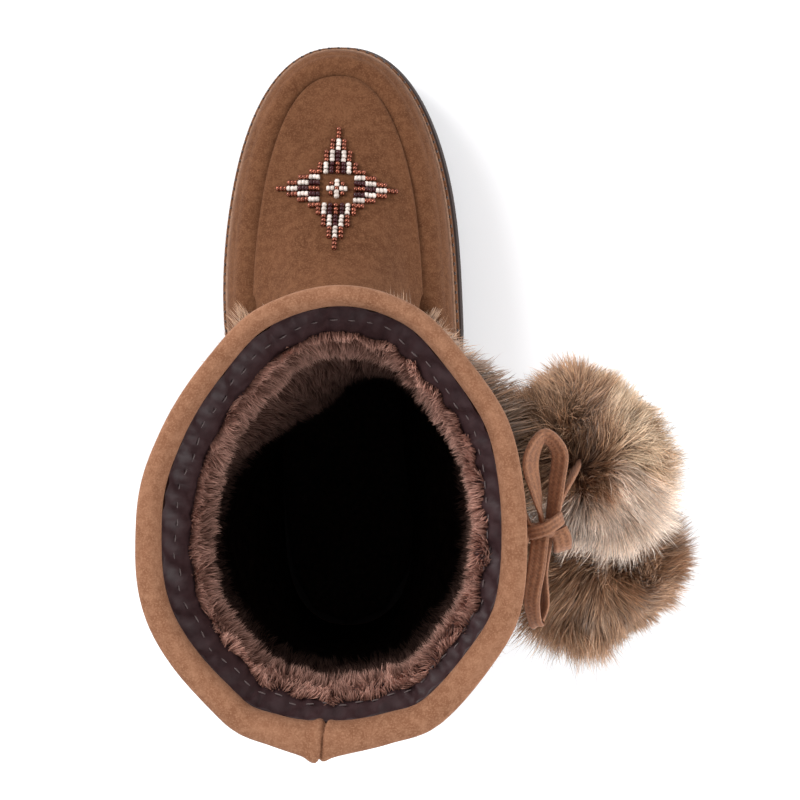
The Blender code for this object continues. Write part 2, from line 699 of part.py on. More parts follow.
def make_bow():
    kx, ky, kz = KNOT
    make_knot()
    for name, side in (("lace_lead_front", 1.0), ("lace_lead_back", -1.0)):
        middle = sum(LACE_ROWS) / 2
        places = np.linspace(0, 0.5, 101)
        u = np.interp(-(ky + side * LEAD_SPREAD), -form(places, middle)[:, 1], places)
        start = skin(u, middle, 0.1)
        lead = (
            (start[0], start[1], start[2] - 0.2),
            (start[0] + 4.0, ky + side * 8.5, start[2] + 0.4),
            (kx - 5.6, ky + side * 1.6, kz - 0.8),
        )
        ribbon_body(name, lead, ((0.0, 0.0, 1.0), (0.1, 0.0, 1.0), (0.1, 0.0, 1.0)), 6)
    front = (
        (kx - 1.4, ky + 4.0, kz + 0.3),
        (kx - 3.2, ky + 12.0, kz + 2.2),
        (kx - 5.2, ky + 23.0, kz + 4.2),
        (kx - 1.0, ky + 31.4, kz + 4.0),
        (kx + 4.6, ky + 26.0, kz + 1.8),
        (kx + 4.0, ky + 16.0, kz - 0.2),
        (kx + 2.6, ky + 4.2, kz - 1.0),
    )
    tilt_front = (
        (0.0, 0.0, 1.0),
        (-0.5, 0.0, 0.8),
        (-0.8, 0.2, 0.5),
        (0.0, 0.7, 0.7),
        (0.75, 0.3, 0.6),
        (0.75, 0.0, 0.6),
        (0.6, 0.0, 0.75),
    )
    ribbon_body("bow_loop_front", front, tilt_front, 15)
    back = (
        (kx - 1.9, ky - 3.9, kz + 0.9),
        (kx - 3.0, ky - 13.0, kz + 1.0),
        (kx - 4.5, ky - 25.0, kz - 2.0),
        (kx - 2.4, ky - 33.4, kz - 6.5),
        (kx + 0.4, ky - 27.0, kz - 8.8),
        (kx - 0.2, ky - 15.0, kz - 7.0),
        (kx + 0.6, ky - 4.0, kz - 3.4),
    )
    tilt_back = (
        (0.9, 0.0, 0.4),
        (0.9, 0.0, 0.4),
        (0.8, 0.0, 0.6),
        (0.3, 0.3, 0.9),
        (0.3, 0.0, 0.9),
        (0.3, 0.0, 0.9),
        (0.5, 0.0, 0.8),
    )
    ribbon_body("bow_loop_back", back, tilt_back, 15)
    upper_end = (
        (kx + 3.9, ky + 2.6, kz - 4.4),
        (kx + 6.2, ky + 9.5, kz - 4.6),
        (kx + 9.2, ky + 15.5, kz - 6.2),
        (kx + 11.2, ky + 18.6, kz - 12.0),
        (kx + 11.9, ky + 19.8, kz - 20.2),
    )
    tilt_upper = (
        (0.0, 0.0, 1.0),
        (-0.2, 0.1, 0.95),
        (-0.4, 0.3, 0.8),
        (-0.8, 0.5, 0.2),
        (-0.8, 0.6, 0.0),
    )
    ribbon_body("lace_end_upper", upper_end, tilt_upper, 10)
    lower_end = (
        (kx + 5.6, ky - 3.2, kz + 0.4),
        (kx + 6.1, ky - 6.2, kz - 1.2),
        (kx + 6.4, ky - 7.6, kz - 6.5),
        (kx + 6.9, ky - 8.0, kz - 20.0),
        (kx + 8.8, ky - 9.0, kz - 38.0),
        (kx + 13.1, ky - 11.2, kz - 67.2),
    )
    ribbon_body("lace_end_lower", lower_end, ((0.95, 0.3, 0.0),) * 6, 12)


def make_pompom(name, centre, radii, lean, length, pressed):
    """An egg of fur with pointed locks that fall a little and lie flat where something presses on them."""
    pressed = np.array(pressed)
    bm = bmesh.new()
    bmesh.ops.create_icosphere(bm, subdivisions=2, radius=1.0)
    for vert in bm.verts:
        vert.co = Vector([c * r for c, r in zip(vert.co, radii)])
    verts = [np.array(v.co) for v in bm.verts]
    faces = []
    for number, face in enumerate(bm.faces):
        corners = [np.array(v.co) for v in face.verts]
        middle = sum(corners) / 3
        out = middle / np.linalg.norm(middle)
        reach = length * (0.75 + 0.25 * math.sin(number * 2.4))
        reach *= 1.0 - LOCK_PRESS * float(smooth(((pressed @ out).max() - 0.35) / 0.4))
        base = [v.index for v in face.verts]
        ring = []
        for c in corners:
            ring.append(len(verts))
            verts.append(middle + (c - middle) * 0.62 + out * reach * 0.55)
        tip = len(verts)
        sag = np.array((0.0, 0.0, -0.28 * reach))
        verts.append(middle + out * reach + sag)
        for k in range(3):
            j = (k + 1) % 3
            faces.append((base[k], base[j], ring[j], ring[k]))
            faces.append((ring[k], ring[j], tip))
    bm.free()
    verts = np.array(verts)
    verts[:, 0] += lean * verts[:, 1]
    return finish_body(name, verts + np.array(centre), faces, "fur")


make_outsole()
make_insole()
make_upper()
make_rand()
make_plug()
make_fur()
make_cuff()
make_facing()
make_lace_band()
make_bow()
for pom, measures in POMPOMS.items():
    make_pompom(pom, *measures)
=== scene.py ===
# %% [markdown]
# # A mukluk boot
# A mukluk is a soft winter boot: a suede moccasin on a rubber sole, a shaft wrapped in long fur,
# a rolled cuff, and a lace whose ends carry two fur balls. The solid model is loaded first and
# stays a fixed frame. Every piece below is laid over it, in the same place and at the same size.

# %% Load the fixed frame
import math

import bmesh
import bpy
import numpy as np
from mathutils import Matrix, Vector
from mathutils.bvhtree import BVHTree


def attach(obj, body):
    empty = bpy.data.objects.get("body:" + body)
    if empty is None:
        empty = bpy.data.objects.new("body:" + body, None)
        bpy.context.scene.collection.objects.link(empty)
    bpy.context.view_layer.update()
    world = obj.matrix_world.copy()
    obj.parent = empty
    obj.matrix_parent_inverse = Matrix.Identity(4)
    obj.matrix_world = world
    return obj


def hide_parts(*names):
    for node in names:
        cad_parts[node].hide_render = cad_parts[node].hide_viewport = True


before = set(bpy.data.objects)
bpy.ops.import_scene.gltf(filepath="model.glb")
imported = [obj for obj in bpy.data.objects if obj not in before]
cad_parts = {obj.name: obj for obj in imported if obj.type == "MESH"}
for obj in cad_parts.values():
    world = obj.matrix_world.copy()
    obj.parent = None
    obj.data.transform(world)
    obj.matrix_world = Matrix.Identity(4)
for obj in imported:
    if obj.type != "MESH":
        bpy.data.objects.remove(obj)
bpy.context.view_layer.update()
MM = 0.001
print("frame nodes:", sorted(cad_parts))


def let_go():
    """Deselects everything, because an operator acts on all that is selected."""
    if bpy.context.object and bpy.context.object.mode != "OBJECT":
        bpy.ops.object.mode_set(mode="OBJECT")
    bpy.ops.object.select_all(action="DESELECT")


# %% [markdown]
# ## The view
# The boot is seen from straight above, with the toe at the top of the picture. A camera that looks
# down needs no rotation at all: a new camera faces -Z and its picture's top is +Y. The distance
# matters as much as the lens, because the collar is 280 mm nearer to the camera than the sole, and
# that is what makes the opening look so wide next to the foot.

# %% Camera
VIEW_POINT = (22.5, 72.0, 931.0)
LENS = 92.16

let_go()
bpy.ops.object.camera_add(location=[c * MM for c in VIEW_POINT], rotation=(0, 0, 0))
camera = bpy.context.object
camera.name = "view_from_above"
camera.data.lens = LENS
camera.data.sensor_width = 36.0
camera.data.clip_start = 0.01
bpy.context.scene.camera = camera
print("camera height", VIEW_POINT[2], "mm, lens", LENS, "mm")

# %% [markdown]
# ## The studio
# A product table is pale and evenly lit, so the floor comes out almost white. The light is a broad
# panel at the upper left, a weaker one at the right, and a sky that is bright at its rim and dim
# overhead. A dim zenith keeps the inside of the shaft black, as only light from straight above
# would reach the insole. The table glows a little, which keeps the boot's soft shadow pale.

# %% Lights, sky and floor
KEY_PLACE = (-1.25, 0.85, 1.25)
KEY_POWER = 26.0
FILL_PLACE = (1.35, -0.75, 0.95)
FILL_POWER = 16.5
# place on the sky's rise from rim to zenith, and the colour there
SKY_RIM = (0.80, (0.985, 0.99, 1.0, 1.0))
SKY_ZENITH = (0.97, (0.30, 0.31, 0.33, 1.0))
SKY_STRENGTH = 1.05
TABLE_SIZE = 6.0
TABLE_FINISH = (
    ("Base Color", (0.965, 0.965, 0.975, 1.0)),
    ("Emission Color", (1.0, 0.99, 1.0, 1.0)),
    ("Emission Strength", 0.08),
    ("Roughness", 0.9),
    ("Specular IOR Level", 0.2),
)


def panel(name, place, power, size, aim=(0.0, 0.08, 0.12)):
    """A round area light at a place, which faces the middle of the boot."""
    let_go()
    bpy.ops.object.light_add(type="AREA", location=place)
    lamp = bpy.context.object
    lamp.name = name
    lamp.data.shape = "DISK"
    lamp.data.size = size
    lamp.data.energy = power
    lamp.rotation_euler = (Vector(aim) - Vector(place)).to_track_quat("-Z", "Y").to_euler()


panel("key_panel", KEY_PLACE, KEY_POWER, 0.9)
panel("fill_panel", FILL_PLACE, FILL_POWER, 1.2)
print("key panel", KEY_POWER, "W, fill panel", FILL_POWER, "W")

# %% Sky and table
sky = bpy.data.worlds.new("studio_sky")
sky.use_nodes = True
bpy.context.scene.world = sky
sky_tree = sky.node_tree
glow = sky_tree.nodes["Background"]
where = sky_tree.nodes.new("ShaderNodeTexCoord")
split = sky_tree.nodes.new("ShaderNodeSeparateXYZ")
rise = sky_tree.nodes.new("ShaderNodeValToRGB")
for stop, (position, colour) in zip(rise.color_ramp.elements, (SKY_RIM, SKY_ZENITH)):
    stop.position = position
    stop.color = colour
sky_tree.links.new(where.outputs["Generated"], split.inputs[0])
sky_tree.links.new(split.outputs["Z"], rise.inputs[0])
sky_tree.links.new(rise.outputs[0], glow.inputs["Color"])
glow.inputs["Strength"].default_value = SKY_STRENGTH

let_go()
bpy.ops.mesh.primitive_plane_add(size=TABLE_SIZE)
floor = bpy.context.object
floor.name = "table_top"
table = bpy.data.materials.new("table_white")
table.use_nodes = True
for label, value in TABLE_FINISH:
    table.node_tree.nodes["Principled BSDF"].inputs[label].default_value = value
floor.data.materials.append(table)
bpy.context.scene.view_settings.view_transform = "Standard"
print("sky strength", SKY_STRENGTH, "table size", TABLE_SIZE, "m")

# %% [markdown]
# ## The last
# A shoe is built on a last, and here the last is a function. It answers one question: where is the
# skin of the boot at u, the share of the way round from the toe, and v, the number of rings up from
# the sole? Each ring is a row of a short table. The foot rings are a long superellipse with a waist,
# the shaft rings are the oval of the collar, and between them the two are mixed. Every leather
# piece is then a patch of this one skin, at its own depth, so seams always meet.

# %% The last's measures
GAP = 0.3
# mm below the outer form: under apron, fur and cuff, the wall's inner face, both again at the collar
RECESS = 3.4
WALL_INNER = 6.4
COLLAR_RECESS = 1.9
COLLAR_INNER = 4.7
# mm below the form of the apron's face, and the rows between which the apron lies
PLUG_TOP = 1.7
PLUG_ROWS = (3.0, 7.9)
PLUG_EDGE_U = 0.222
FUR_TOP_ROW = 11.98
CUFF_ROW = 12.27
LACE_ROWS = (12.06, 12.21)
WALL_TOP_ROW = 13.76
SOLE_FRONT = 228.3
SOLE_BACK = -38.0
SOLE_HALF = (52.7, 41.5, 38.5)

# length of the foot, and its half width at ball, waist and heel
FOOT_MEASURES = (258.0, 49.0, 39.0, 35.0)
# share of the length that each rounded end takes, and how square it is
FRONT_CAP = 0.45
FRONT_POWER = 2.3
BACK_CAP = 0.17
BACK_POWER = 2.2

# front_y, back_y, half width at ball, waist, heel, share of leg oval, z at heel, waist, ball, tread, toe
RINGS = {
    "feather": (222.5, -33.5, 49.0, 38.0, 34.5, 0.00, 25.0, 23.5, 18.5, 18.5, 26.0),
    "bulge": (224.4, -35.0, 49.6, 39.5, 35.8, 0.00, 36.0, 34.0, 29.0, 29.0, 36.0),
    "shoulder": (222.2, -35.5, 47.4, 39.8, 36.5, 0.00, 50.0, 48.0, 44.0, 42.5, 45.5),
    "wall_top": (212.3, -35.0, 37.6, 38.0, 36.5, 0.00, 66.0, 66.0, 58.0, 53.5, 51.5),
    "vamp_1": (194.0, -34.5, 35.0, 37.0, 36.5, 0.05, 76.0, 76.0, 66.0, 57.5, 55.5),
    "vamp_2": (167.0, -34.0, 33.5, 37.0, 36.5, 0.15, 85.0, 86.0, 77.0, 65.0, 61.5),
    "vamp_3": (143.0, -33.7, 34.0, 37.5, 37.0, 0.35, 95.0, 96.0, 89.0, 77.0, 71.0),
    "instep": (122.5, -33.5, 35.5, 39.0, 38.5, 0.60, 106.0, 107.0, 102.0, 93.0, 87.0),
    "ankle": (110.0, -33.5, 39.0, 42.0, 41.5, 0.85, 123.0, 124.0, 121.0, 114.0, 110.0),
    "shaft_1": (103.0, -34.0, 49.5, 49.5, 49.5, 1.00, 147.0, 147.0, 146.0, 143.0, 140.0),
    "shaft_2": (101.0, -34.8, 55.0, 55.0, 55.0, 1.00, 175.0, 175.0, 175.0, 175.0, 174.0),
    "shaft_3": (101.2, -35.6, 57.5, 57.5, 57.5, 1.00, 203.0, 203.0, 203.0, 203.0, 203.0),
    "shaft_4": (103.2, -36.6, 58.6, 58.6, 58.6, 1.00, 230.0, 230.0, 230.0, 230.0, 230.0),
    "cuff": (106.0, -38.0, 60.2, 60.2, 60.2, 1.00, 256.0, 256.0, 256.0, 256.0, 256.0),
    "collar": (108.2, -39.3, 61.8, 61.8, 61.8, 1.00, 281.0, 281.0, 281.0, 281.0, 281.0),
}
RING_ROWS = np.array(list(RINGS.values()), float)
TOP_ROW = len(RING_ROWS) - 1
Z_KNOTS = (0.0, 0.30, 0.55, 0.78, 1.0)
CENTRE_KNOTS = (0.0, 0.34, 0.55, 0.8, 1.0)
CENTRE_X = (0.0, 1.4, -3.4, -4.0, -4.1)
SOLE_CENTRE_X = (0.0, 2.2, -1.9, -2.4, -2.9)
LEG_CENTRE_X = 0.9
# x and y of the collar, from the toe side round
LEG_OUTLINE = (
    (0.9, 108.2),
    (20.3, 105.0),
    (36.2, 93.9),
    (56.4, 65.0),
    (62.6, 33.2),
    (58.7, -0.2),
    (36.8, -29.1),
    (19.2, -37.0),
    (-1.4, -39.6),
    (-18.4, -37.0),
    (-35.0, -29.1),
    (-57.0, -0.2),
    (-60.9, 33.2),
    (-52.5, 64.1),
    (-33.1, 91.7),
    (-17.2, 103.6),
)
print("rings from the sole up:", list(RINGS))


# %% Curves
def smooth(t):
    """Eases from 0 to 1."""
    t = np.clip(t, 0.0, 1.0)
    return t * t * (3.0 - 2.0 * t)


def spline(knots, values, at):
    """Cubic through the knots, for values of any number of columns."""
    knots = np.asarray(knots, float)
    values = np.asarray(values, float)
    at = np.clip(np.asarray(at, float), knots[0], knots[-1])
    step = np.diff(knots)
    shape = (-1,) + (1,) * (values.ndim - 1)
    slope = np.diff(values, axis=0) / step.reshape(shape)
    tangent = np.empty_like(values)
    tangent[0] = slope[0]
    tangent[-1] = slope[-1]
    before = step[:-1].reshape(shape)
    after = step[1:].reshape(shape)
    tangent[1:-1] = (slope[:-1] * after + slope[1:] * before) / (before + after)
    k = np.clip(np.searchsorted(knots, at, side="right") - 1, 0, len(step) - 1)
    extra = (...,) + (None,) * (values.ndim - 1)
    t = ((at - knots[k]) / step[k])[extra]
    h = step[k][extra]
    return (
        values[k] * (2 * t**3 - 3 * t**2 + 1)
        + tangent[k] * h * (t**3 - 2 * t**2 + t)
        + values[k + 1] * (3 * t**2 - 2 * t**3)
        + tangent[k + 1] * h * (t**3 - t**2)
    )


def half_widths(along, ball, waist, heel):
    """Half width of a foot outline at a share of its length from the heel."""
    to_waist = smooth((along - 0.08) / 0.22)
    to_ball = smooth((along - 0.25) / 0.30)
    return heel * (1 - to_waist) + waist * to_waist * (1 - to_ball) + ball * to_ball


def even_arc(points, count, measured=None):
    """Points at even steps of length along a line; the length may be measured on another line."""
    line = points if measured is None else measured
    run = np.hypot(np.diff(line[:, 0]), np.diff(line[:, 1]))
    arc = np.concatenate([[0], np.cumsum(run)])
    even = np.linspace(0, 1, count)
    return np.stack([np.interp(even, arc / arc[-1], points[:, k]) for k in (0, 1)], 1)


print("half width in the middle of the foot:", half_widths(0.5, *FOOT_MEASURES[1:]).round(1), "mm")


# %% Outlines of foot and leg
def foot_table():
    """Shares of the length and of the half width along one side of the foot."""
    a = np.linspace(0, math.pi / 2, 400)
    front = (1 - FRONT_CAP + FRONT_CAP * np.cos(a) ** (2 / FRONT_POWER), np.sin(a) ** (2 / FRONT_POWER))
    side = (np.linspace(1 - FRONT_CAP, BACK_CAP, 200)[1:-1], np.ones(198))
    back = (BACK_CAP - BACK_CAP * np.sin(a) ** (2 / BACK_POWER), np.cos(a) ** (2 / BACK_POWER))
    table = np.concatenate([np.stack(part, 1) for part in (front, side, back)])
    wide = half_widths(table[:, 0], *FOOT_MEASURES[1:]) * table[:, 1]
    return even_arc(table, 1001, np.stack([wide, table[:, 0] * FOOT_MEASURES[0]], 1))


def leg_table():
    """The collar outline as shares of its half width and length, from the toe side round."""
    points = np.array(LEG_OUTLINE, float)
    count = len(points)
    looped = np.concatenate([points[-3:], points, points[:4]])
    dense = spline(np.arange(len(looped)) - 3, looped, np.linspace(0, count, 2001))
    back = int(np.argmin(dense[:, 1]))
    halves = [even_arc(dense[: back + 1], 501), even_arc(dense[back:], 501)]
    whole = np.concatenate([halves[0], halves[1][1:]])
    half = (points[:, 0].max() - points[:, 0].min()) / 2
    low = points[:, 1].min()
    long = points[:, 1].max() - low
    return np.stack([(whole[:, 0] - LEG_CENTRE_X) / half, (whole[:, 1] - low) / long], 1)


FOOT = foot_table()
LEG = leg_table()
EVEN = np.linspace(0, 1, 1001)


def foot_shares(u):
    """Shares of the length and of the half width at u, negative on the inner side."""
    u = np.mod(u, 1.0)
    side = np.where(u <= 0.5, 1.0, -1.0)
    t = 2 * np.minimum(u, 1 - u)
    return np.interp(t, EVEN, FOOT[:, 0]), side * np.interp(t, EVEN, FOOT[:, 1])


print("points round foot and leg:", len(FOOT), len(LEG))


# %% The form and its skin
def form(u, v):
    """Points of the boot's outer form, in mm: u runs round from the toe, v up through the rings."""
    u, v = np.broadcast_arrays(np.asarray(u, float), np.asarray(v, float))
    row = spline(np.arange(TOP_ROW + 1), RING_ROWS, v)
    front, back, ball, waist, heel, leg = (row[..., k] for k in range(6))
    along, across = foot_shares(u)
    turn = np.mod(u, 1.0)
    leg_x = np.interp(turn, EVEN, LEG[:, 0])
    leg_y = np.interp(turn, EVEN, LEG[:, 1])
    foot_x = spline(CENTRE_KNOTS, CENTRE_X, along) + half_widths(along, ball, waist, heel) * across
    x = (1 - leg) * foot_x + leg * (LEG_CENTRE_X + ball * leg_x)
    share = (1 - leg) * along + leg * leg_y
    y = back + (front - back) * share
    z = (spline(Z_KNOTS, np.eye(5), share) * row[..., 6:11]).sum(-1)
    return np.stack([x, y, z], -1)


def outward(u, v):
    """Unit vectors that stand on the form."""
    du = form(u + 0.004, v) - form(u - 0.004, v)
    dv = form(u, np.minimum(v + 0.03, TOP_ROW)) - form(u, np.maximum(v - 0.03, 0))
    n = np.cross(dv, du)
    return n / np.linalg.norm(n, axis=-1, keepdims=True)


def skin(u, v, d):
    """Points at distance d outside the form."""
    u, v, d = np.broadcast_arrays(np.asarray(u, float), np.asarray(v, float), np.asarray(d, float))
    return form(u, v) + outward(u, v) * d[..., None]


def rim(u, d, rise):
    """Points beside the collar ring: d outward and level, rise up."""
    n = outward(u, np.full_like(u, TOP_ROW))
    n[..., 2] = 0
    n /= np.linalg.norm(n, axis=-1, keepdims=True)
    p = form(u, np.full_like(u, TOP_ROW)) + n * np.asarray(d, float)[..., None]
    p[..., 2] += rise
    return p


def around(count):
    """Even steps of u, once round the boot."""
    return np.arange(count) / count


print("toe tip", form(0.0, 1.0).round(1), "collar back", form(0.5, 14.0).round(1))

# %% [markdown]
# ## Pulling primitives onto the last
# Two primitives cover all the leather. A torus is already a closed band, with one set of rings
# round the boot and one round its cross-section, so it becomes a rand, a cuff or the whole hollow
# upper as soon as its vertices are moved. A grid is a sheet that gets its thickness from Solidify.
# Each vertex is sent to its place by its own row and column, which are read from the primitive.

# %% A band from a torus
def keep_as_piece(ob, name, smooth_angle=50.0):
    """Names a finished mesh, points its faces outwards, shades it smooth by angle and lets it ride."""
    ob.name = name
    ob.data.name = name
    bpy.context.view_layer.objects.active = ob
    ob.select_set(True)
    bpy.ops.object.mode_set(mode="EDIT")
    bpy.ops.mesh.select_all(action="SELECT")
    bpy.ops.mesh.normals_make_consistent(inside=False)
    bpy.ops.object.mode_set(mode="OBJECT")
    bpy.ops.object.shade_smooth_by_angle(angle=math.radians(smooth_angle))
    let_go()
    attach(ob, "root")
    return ob


def band(name, loops, smooth_angle=50.0):
    """Pulls a torus over loops, an array of rows round the section by columns round the boot."""
    loops = np.asarray(loops)
    rows, cols = loops.shape[:2]
    let_go()
    bpy.ops.mesh.primitive_torus_add(
        major_segments=cols, minor_segments=rows, major_radius=1.0, minor_radius=0.25
    )
    ob = bpy.context.object
    co = np.empty(len(ob.data.vertices) * 3)
    ob.data.vertices.foreach_get("co", co)
    co = co.reshape(-1, 3)
    column = np.rint(np.arctan2(co[:, 1], co[:, 0]) / (2 * math.pi) * cols).astype(int) % cols
    tilt = np.arctan2(co[:, 2], np.hypot(co[:, 0], co[:, 1]) - 1.0)
    row = np.rint(tilt / (2 * math.pi) * rows).astype(int) % rows
    ob.data.vertices.foreach_set("co", (loops[row, column] * MM).ravel())
    paint_uv(ob, column / cols, row / rows)
    return keep_as_piece(ob, name, smooth_angle)


print("a torus becomes a band of any section")


# %% A sheet from a grid, the UV map and the finish
def sheet(name, grid, thickness, smooth_angle=60.0):
    """Pulls a plane grid over an array of rows by columns, and gives it a thickness inwards."""
    grid = np.asarray(grid)
    rows, cols = grid.shape[:2]
    let_go()
    bpy.ops.mesh.primitive_grid_add(x_subdivisions=cols - 1, y_subdivisions=rows - 1, size=2.0)
    ob = bpy.context.object
    co = np.empty(len(ob.data.vertices) * 3)
    ob.data.vertices.foreach_get("co", co)
    co = co.reshape(-1, 3)
    column = np.rint((co[:, 0] + 1) / 2 * (cols - 1)).astype(int)
    row = np.rint((co[:, 1] + 1) / 2 * (rows - 1)).astype(int)
    ob.data.vertices.foreach_set("co", (grid[row, column] * MM).ravel())
    wall = ob.modifiers.new("wall", "SOLIDIFY")
    wall.thickness = thickness * MM
    wall.offset = -1.0
    bpy.ops.object.modifier_apply(modifier="wall")
    return keep_as_piece(ob, name, smooth_angle)


def paint_uv(ob, across, up):
    """Writes a UV for each corner from one value of each kind for a vertex."""
    layer = ob.data.uv_layers.active or ob.data.uv_layers.new(name="UVMap")
    corner = np.empty(len(ob.data.loops), np.int32)
    ob.data.loops.foreach_get("vertex_index", corner)
    uv = np.stack([across[corner], up[corner]], 1)
    start = np.empty(len(ob.data.polygons), np.int32)
    total = np.empty(len(ob.data.polygons), np.int32)
    ob.data.polygons.foreach_get("loop_start", start)
    ob.data.polygons.foreach_get("loop_total", total)
    face = np.repeat(np.arange(len(start)), total)
    for k in (0, 1):
        highest = np.zeros(len(start))
        np.maximum.at(highest, face, uv[:, k])
        wraps = (highest[face] - uv[:, k]) > 0.5
        uv[wraps, k] += 1.0
    layer.data.foreach_set("uv", uv.ravel().astype(np.float32))


def dress(ob, mat):
    """Gives a piece its material."""
    ob.data.materials.clear()
    ob.data.materials.append(mat)


def triangles(ob):
    ob.data.calc_loop_triangles()
    return len(ob.data.loop_triangles)


print("a grid becomes a sheet with a thickness")

# %% [markdown]
# ## Suede
# Suede is leather with its flesh side out, brushed to a nap. Three things make it read as suede:
# cloudy patches where the nap lies another way, a fine grain of lighter fibre ends, and a soft
# glow at grazing angles instead of a highlight. The first two are a node group that each suede
# uses with its own colours. The glow is the shader's sheen, set on the shader itself.

# %% Node helpers
def put(tree, kind, **settings):
    """Adds a node; a setting is an input where one has that name, and otherwise a property."""
    node = tree.nodes.new(kind)
    for key, value in settings.items():
        label = key.replace("_", " ")
        if label in node.inputs:
            node.inputs[label].default_value = value
        else:
            setattr(node, key, value)
    return node


def new_group(name, inputs, outputs):
    """An empty node group with named sockets, and its input and output nodes."""
    group = bpy.data.node_groups.new(name, "ShaderNodeTree")
    for label, kind, value in inputs:
        socket = group.interface.new_socket(name=label, in_out="INPUT", socket_type=kind)
        socket.default_value = value
    for label, kind in outputs:
        group.interface.new_socket(name=label, in_out="OUTPUT", socket_type=kind)
    return group, group.nodes.new("NodeGroupInput"), group.nodes.new("NodeGroupOutput")


def blend_node(tree, factor, first, second, mode="MIX"):
    """Mixes two colours; each argument is a node, a (node, output) pair or a value."""
    node = tree.nodes.new("ShaderNodeMix")
    node.data_type = "RGBA"
    node.blend_type = mode
    for index, value in ((0, factor), (6, first), (7, second)):
        if isinstance(value, tuple) and hasattr(value[0], "outputs"):
            tree.links.new(value[0].outputs[value[1]], node.inputs[index])
        elif hasattr(value, "outputs"):
            tree.links.new(value.outputs[0], node.inputs[index])
        else:
            node.inputs[index].default_value = value
    return node, 2


def span(tree, source, low, high, out_low=0.0, out_high=1.0, out=0):
    """Maps an output from low..high to out_low..out_high."""
    node = tree.nodes.new("ShaderNodeMapRange")
    for index, value in ((1, low), (2, high), (3, out_low), (4, out_high)):
        node.inputs[index].default_value = value
    tree.links.new(source.outputs[out], node.inputs[0])
    return node


def texture_on(tree, kind, **settings):
    """A texture that reads Object coordinates, so it keeps its size and stays on the piece."""
    where = put(tree, "ShaderNodeTexCoord")
    texture = put(tree, kind, **settings)
    tree.links.new(where.outputs["Object"], texture.inputs["Vector"])
    return texture


def colour_from(tree, shader, mixed):
    tree.links.new(mixed[0].outputs[mixed[1]], shader.inputs["Base Color"])


def shader_of(name, colour, **settings):
    """A new material, its node tree and its shader; a setting is an input of the shader."""
    mat = bpy.data.materials.new(name)
    mat.use_nodes = True
    shader = mat.node_tree.nodes["Principled BSDF"]
    shader.inputs["Base Color"].default_value = (*colour, 1.0)
    for key, value in settings.items():
        shader.inputs[key.replace("_", " ")].default_value = value
    mat.diffuse_color = (*colour, 1.0)
    return mat, mat.node_tree, shader


def bump_from(tree, source, shader, strength, distance, out=0):
    bump = put(tree, "ShaderNodeBump", Strength=strength, Distance=distance)
    tree.links.new(source.outputs[out], bump.inputs["Height"])
    tree.links.new(bump.outputs[0], shader.inputs["Normal"])


print("textures read Object coordinates or a UV map")

# %% The nap group
COLOUR = "NodeSocketColor"
NUMBER = "NodeSocketFloat"
nap, nap_in, nap_out = new_group(
    "suede_nap",
    (
        ("Body", COLOUR, (0.2, 0.1, 0.06, 1)),
        ("Fibre", COLOUR, (0.3, 0.17, 0.1, 1)),
        ("Shade", COLOUR, (0.13, 0.07, 0.04, 1)),
        ("Patch", NUMBER, 55.0),
        ("Grain", NUMBER, 1500.0),
    ),
    (("Color", COLOUR), ("Height", NUMBER), ("Roughness", NUMBER)),
)
patch = texture_on(nap, "ShaderNodeTexNoise", Detail=3.0, Roughness=0.55, Distortion=0.6)
grain = texture_on(nap, "ShaderNodeTexNoise", Detail=2.0, Roughness=0.6)
brush = texture_on(nap, "ShaderNodeTexNoise", Scale=320.0, Detail=3.0, Roughness=0.6)
nap.links.new(nap_in.outputs["Patch"], patch.inputs["Scale"])
nap.links.new(nap_in.outputs["Grain"], grain.inputs["Scale"])
cloudy = span(nap, patch, 0.32, 0.68)
body = blend_node(nap, cloudy, (nap_in, "Shade"), (nap_in, "Body"))
brushed = span(nap, brush, 0.42, 0.72, 0.0, 0.55)
body = blend_node(nap, brushed, body, (nap_in, "Fibre"))
fibre = span(nap, grain, 0.48, 0.74, 0.0, 0.8)
body = blend_node(nap, fibre, body, (nap_in, "Fibre"))
pit = span(nap, grain, 0.26, 0.42, 0.45, 0.0)
body = blend_node(nap, pit, body, (nap_in, "Shade"))
nap.links.new(body[0].outputs[body[1]], nap_out.inputs["Color"])
lift = put(nap, "ShaderNodeMath", operation="MULTIPLY_ADD")
lift.inputs[1].default_value = 0.6
nap.links.new(grain.outputs[0], lift.inputs[0])
nap.links.new(brush.outputs[0], lift.inputs[2])
nap.links.new(lift.outputs[0], nap_out.inputs["Height"])
matt = span(nap, grain, 0.2, 0.8, 0.98, 0.82)
nap.links.new(matt.outputs[0], nap_out.inputs["Roughness"])
print("inputs of the nap group:", [socket.name for socket in nap_in.outputs if socket.name])


# %% Suedes
NAP_RELIEF = 0.00022


def suede(name, body_colour, fibre_colour, shade_colour, patch_scale=55.0, grain_scale=1500.0):
    """A suede of three browns; the scales are for its cloudy patches and its fibre ends."""
    mat, tree, shader = shader_of(
        name,
        body_colour,
        Sheen_Weight=0.05,
        Sheen_Roughness=0.5,
        Sheen_Tint=(1.0, 0.80, 0.62, 1.0),
        Specular_IOR_Level=0.08,
    )
    group = tree.nodes.new("ShaderNodeGroup")
    group.node_tree = nap
    for label, value in (("Body", body_colour), ("Fibre", fibre_colour), ("Shade", shade_colour)):
        group.inputs[label].default_value = (*value, 1.0)
    group.inputs["Patch"].default_value = patch_scale
    group.inputs["Grain"].default_value = grain_scale
    tree.links.new(group.outputs["Color"], shader.inputs["Base Color"])
    tree.links.new(group.outputs["Roughness"], shader.inputs["Roughness"])
    bump_from(tree, group, shader, 0.55, NAP_RELIEF, out=1)
    return mat


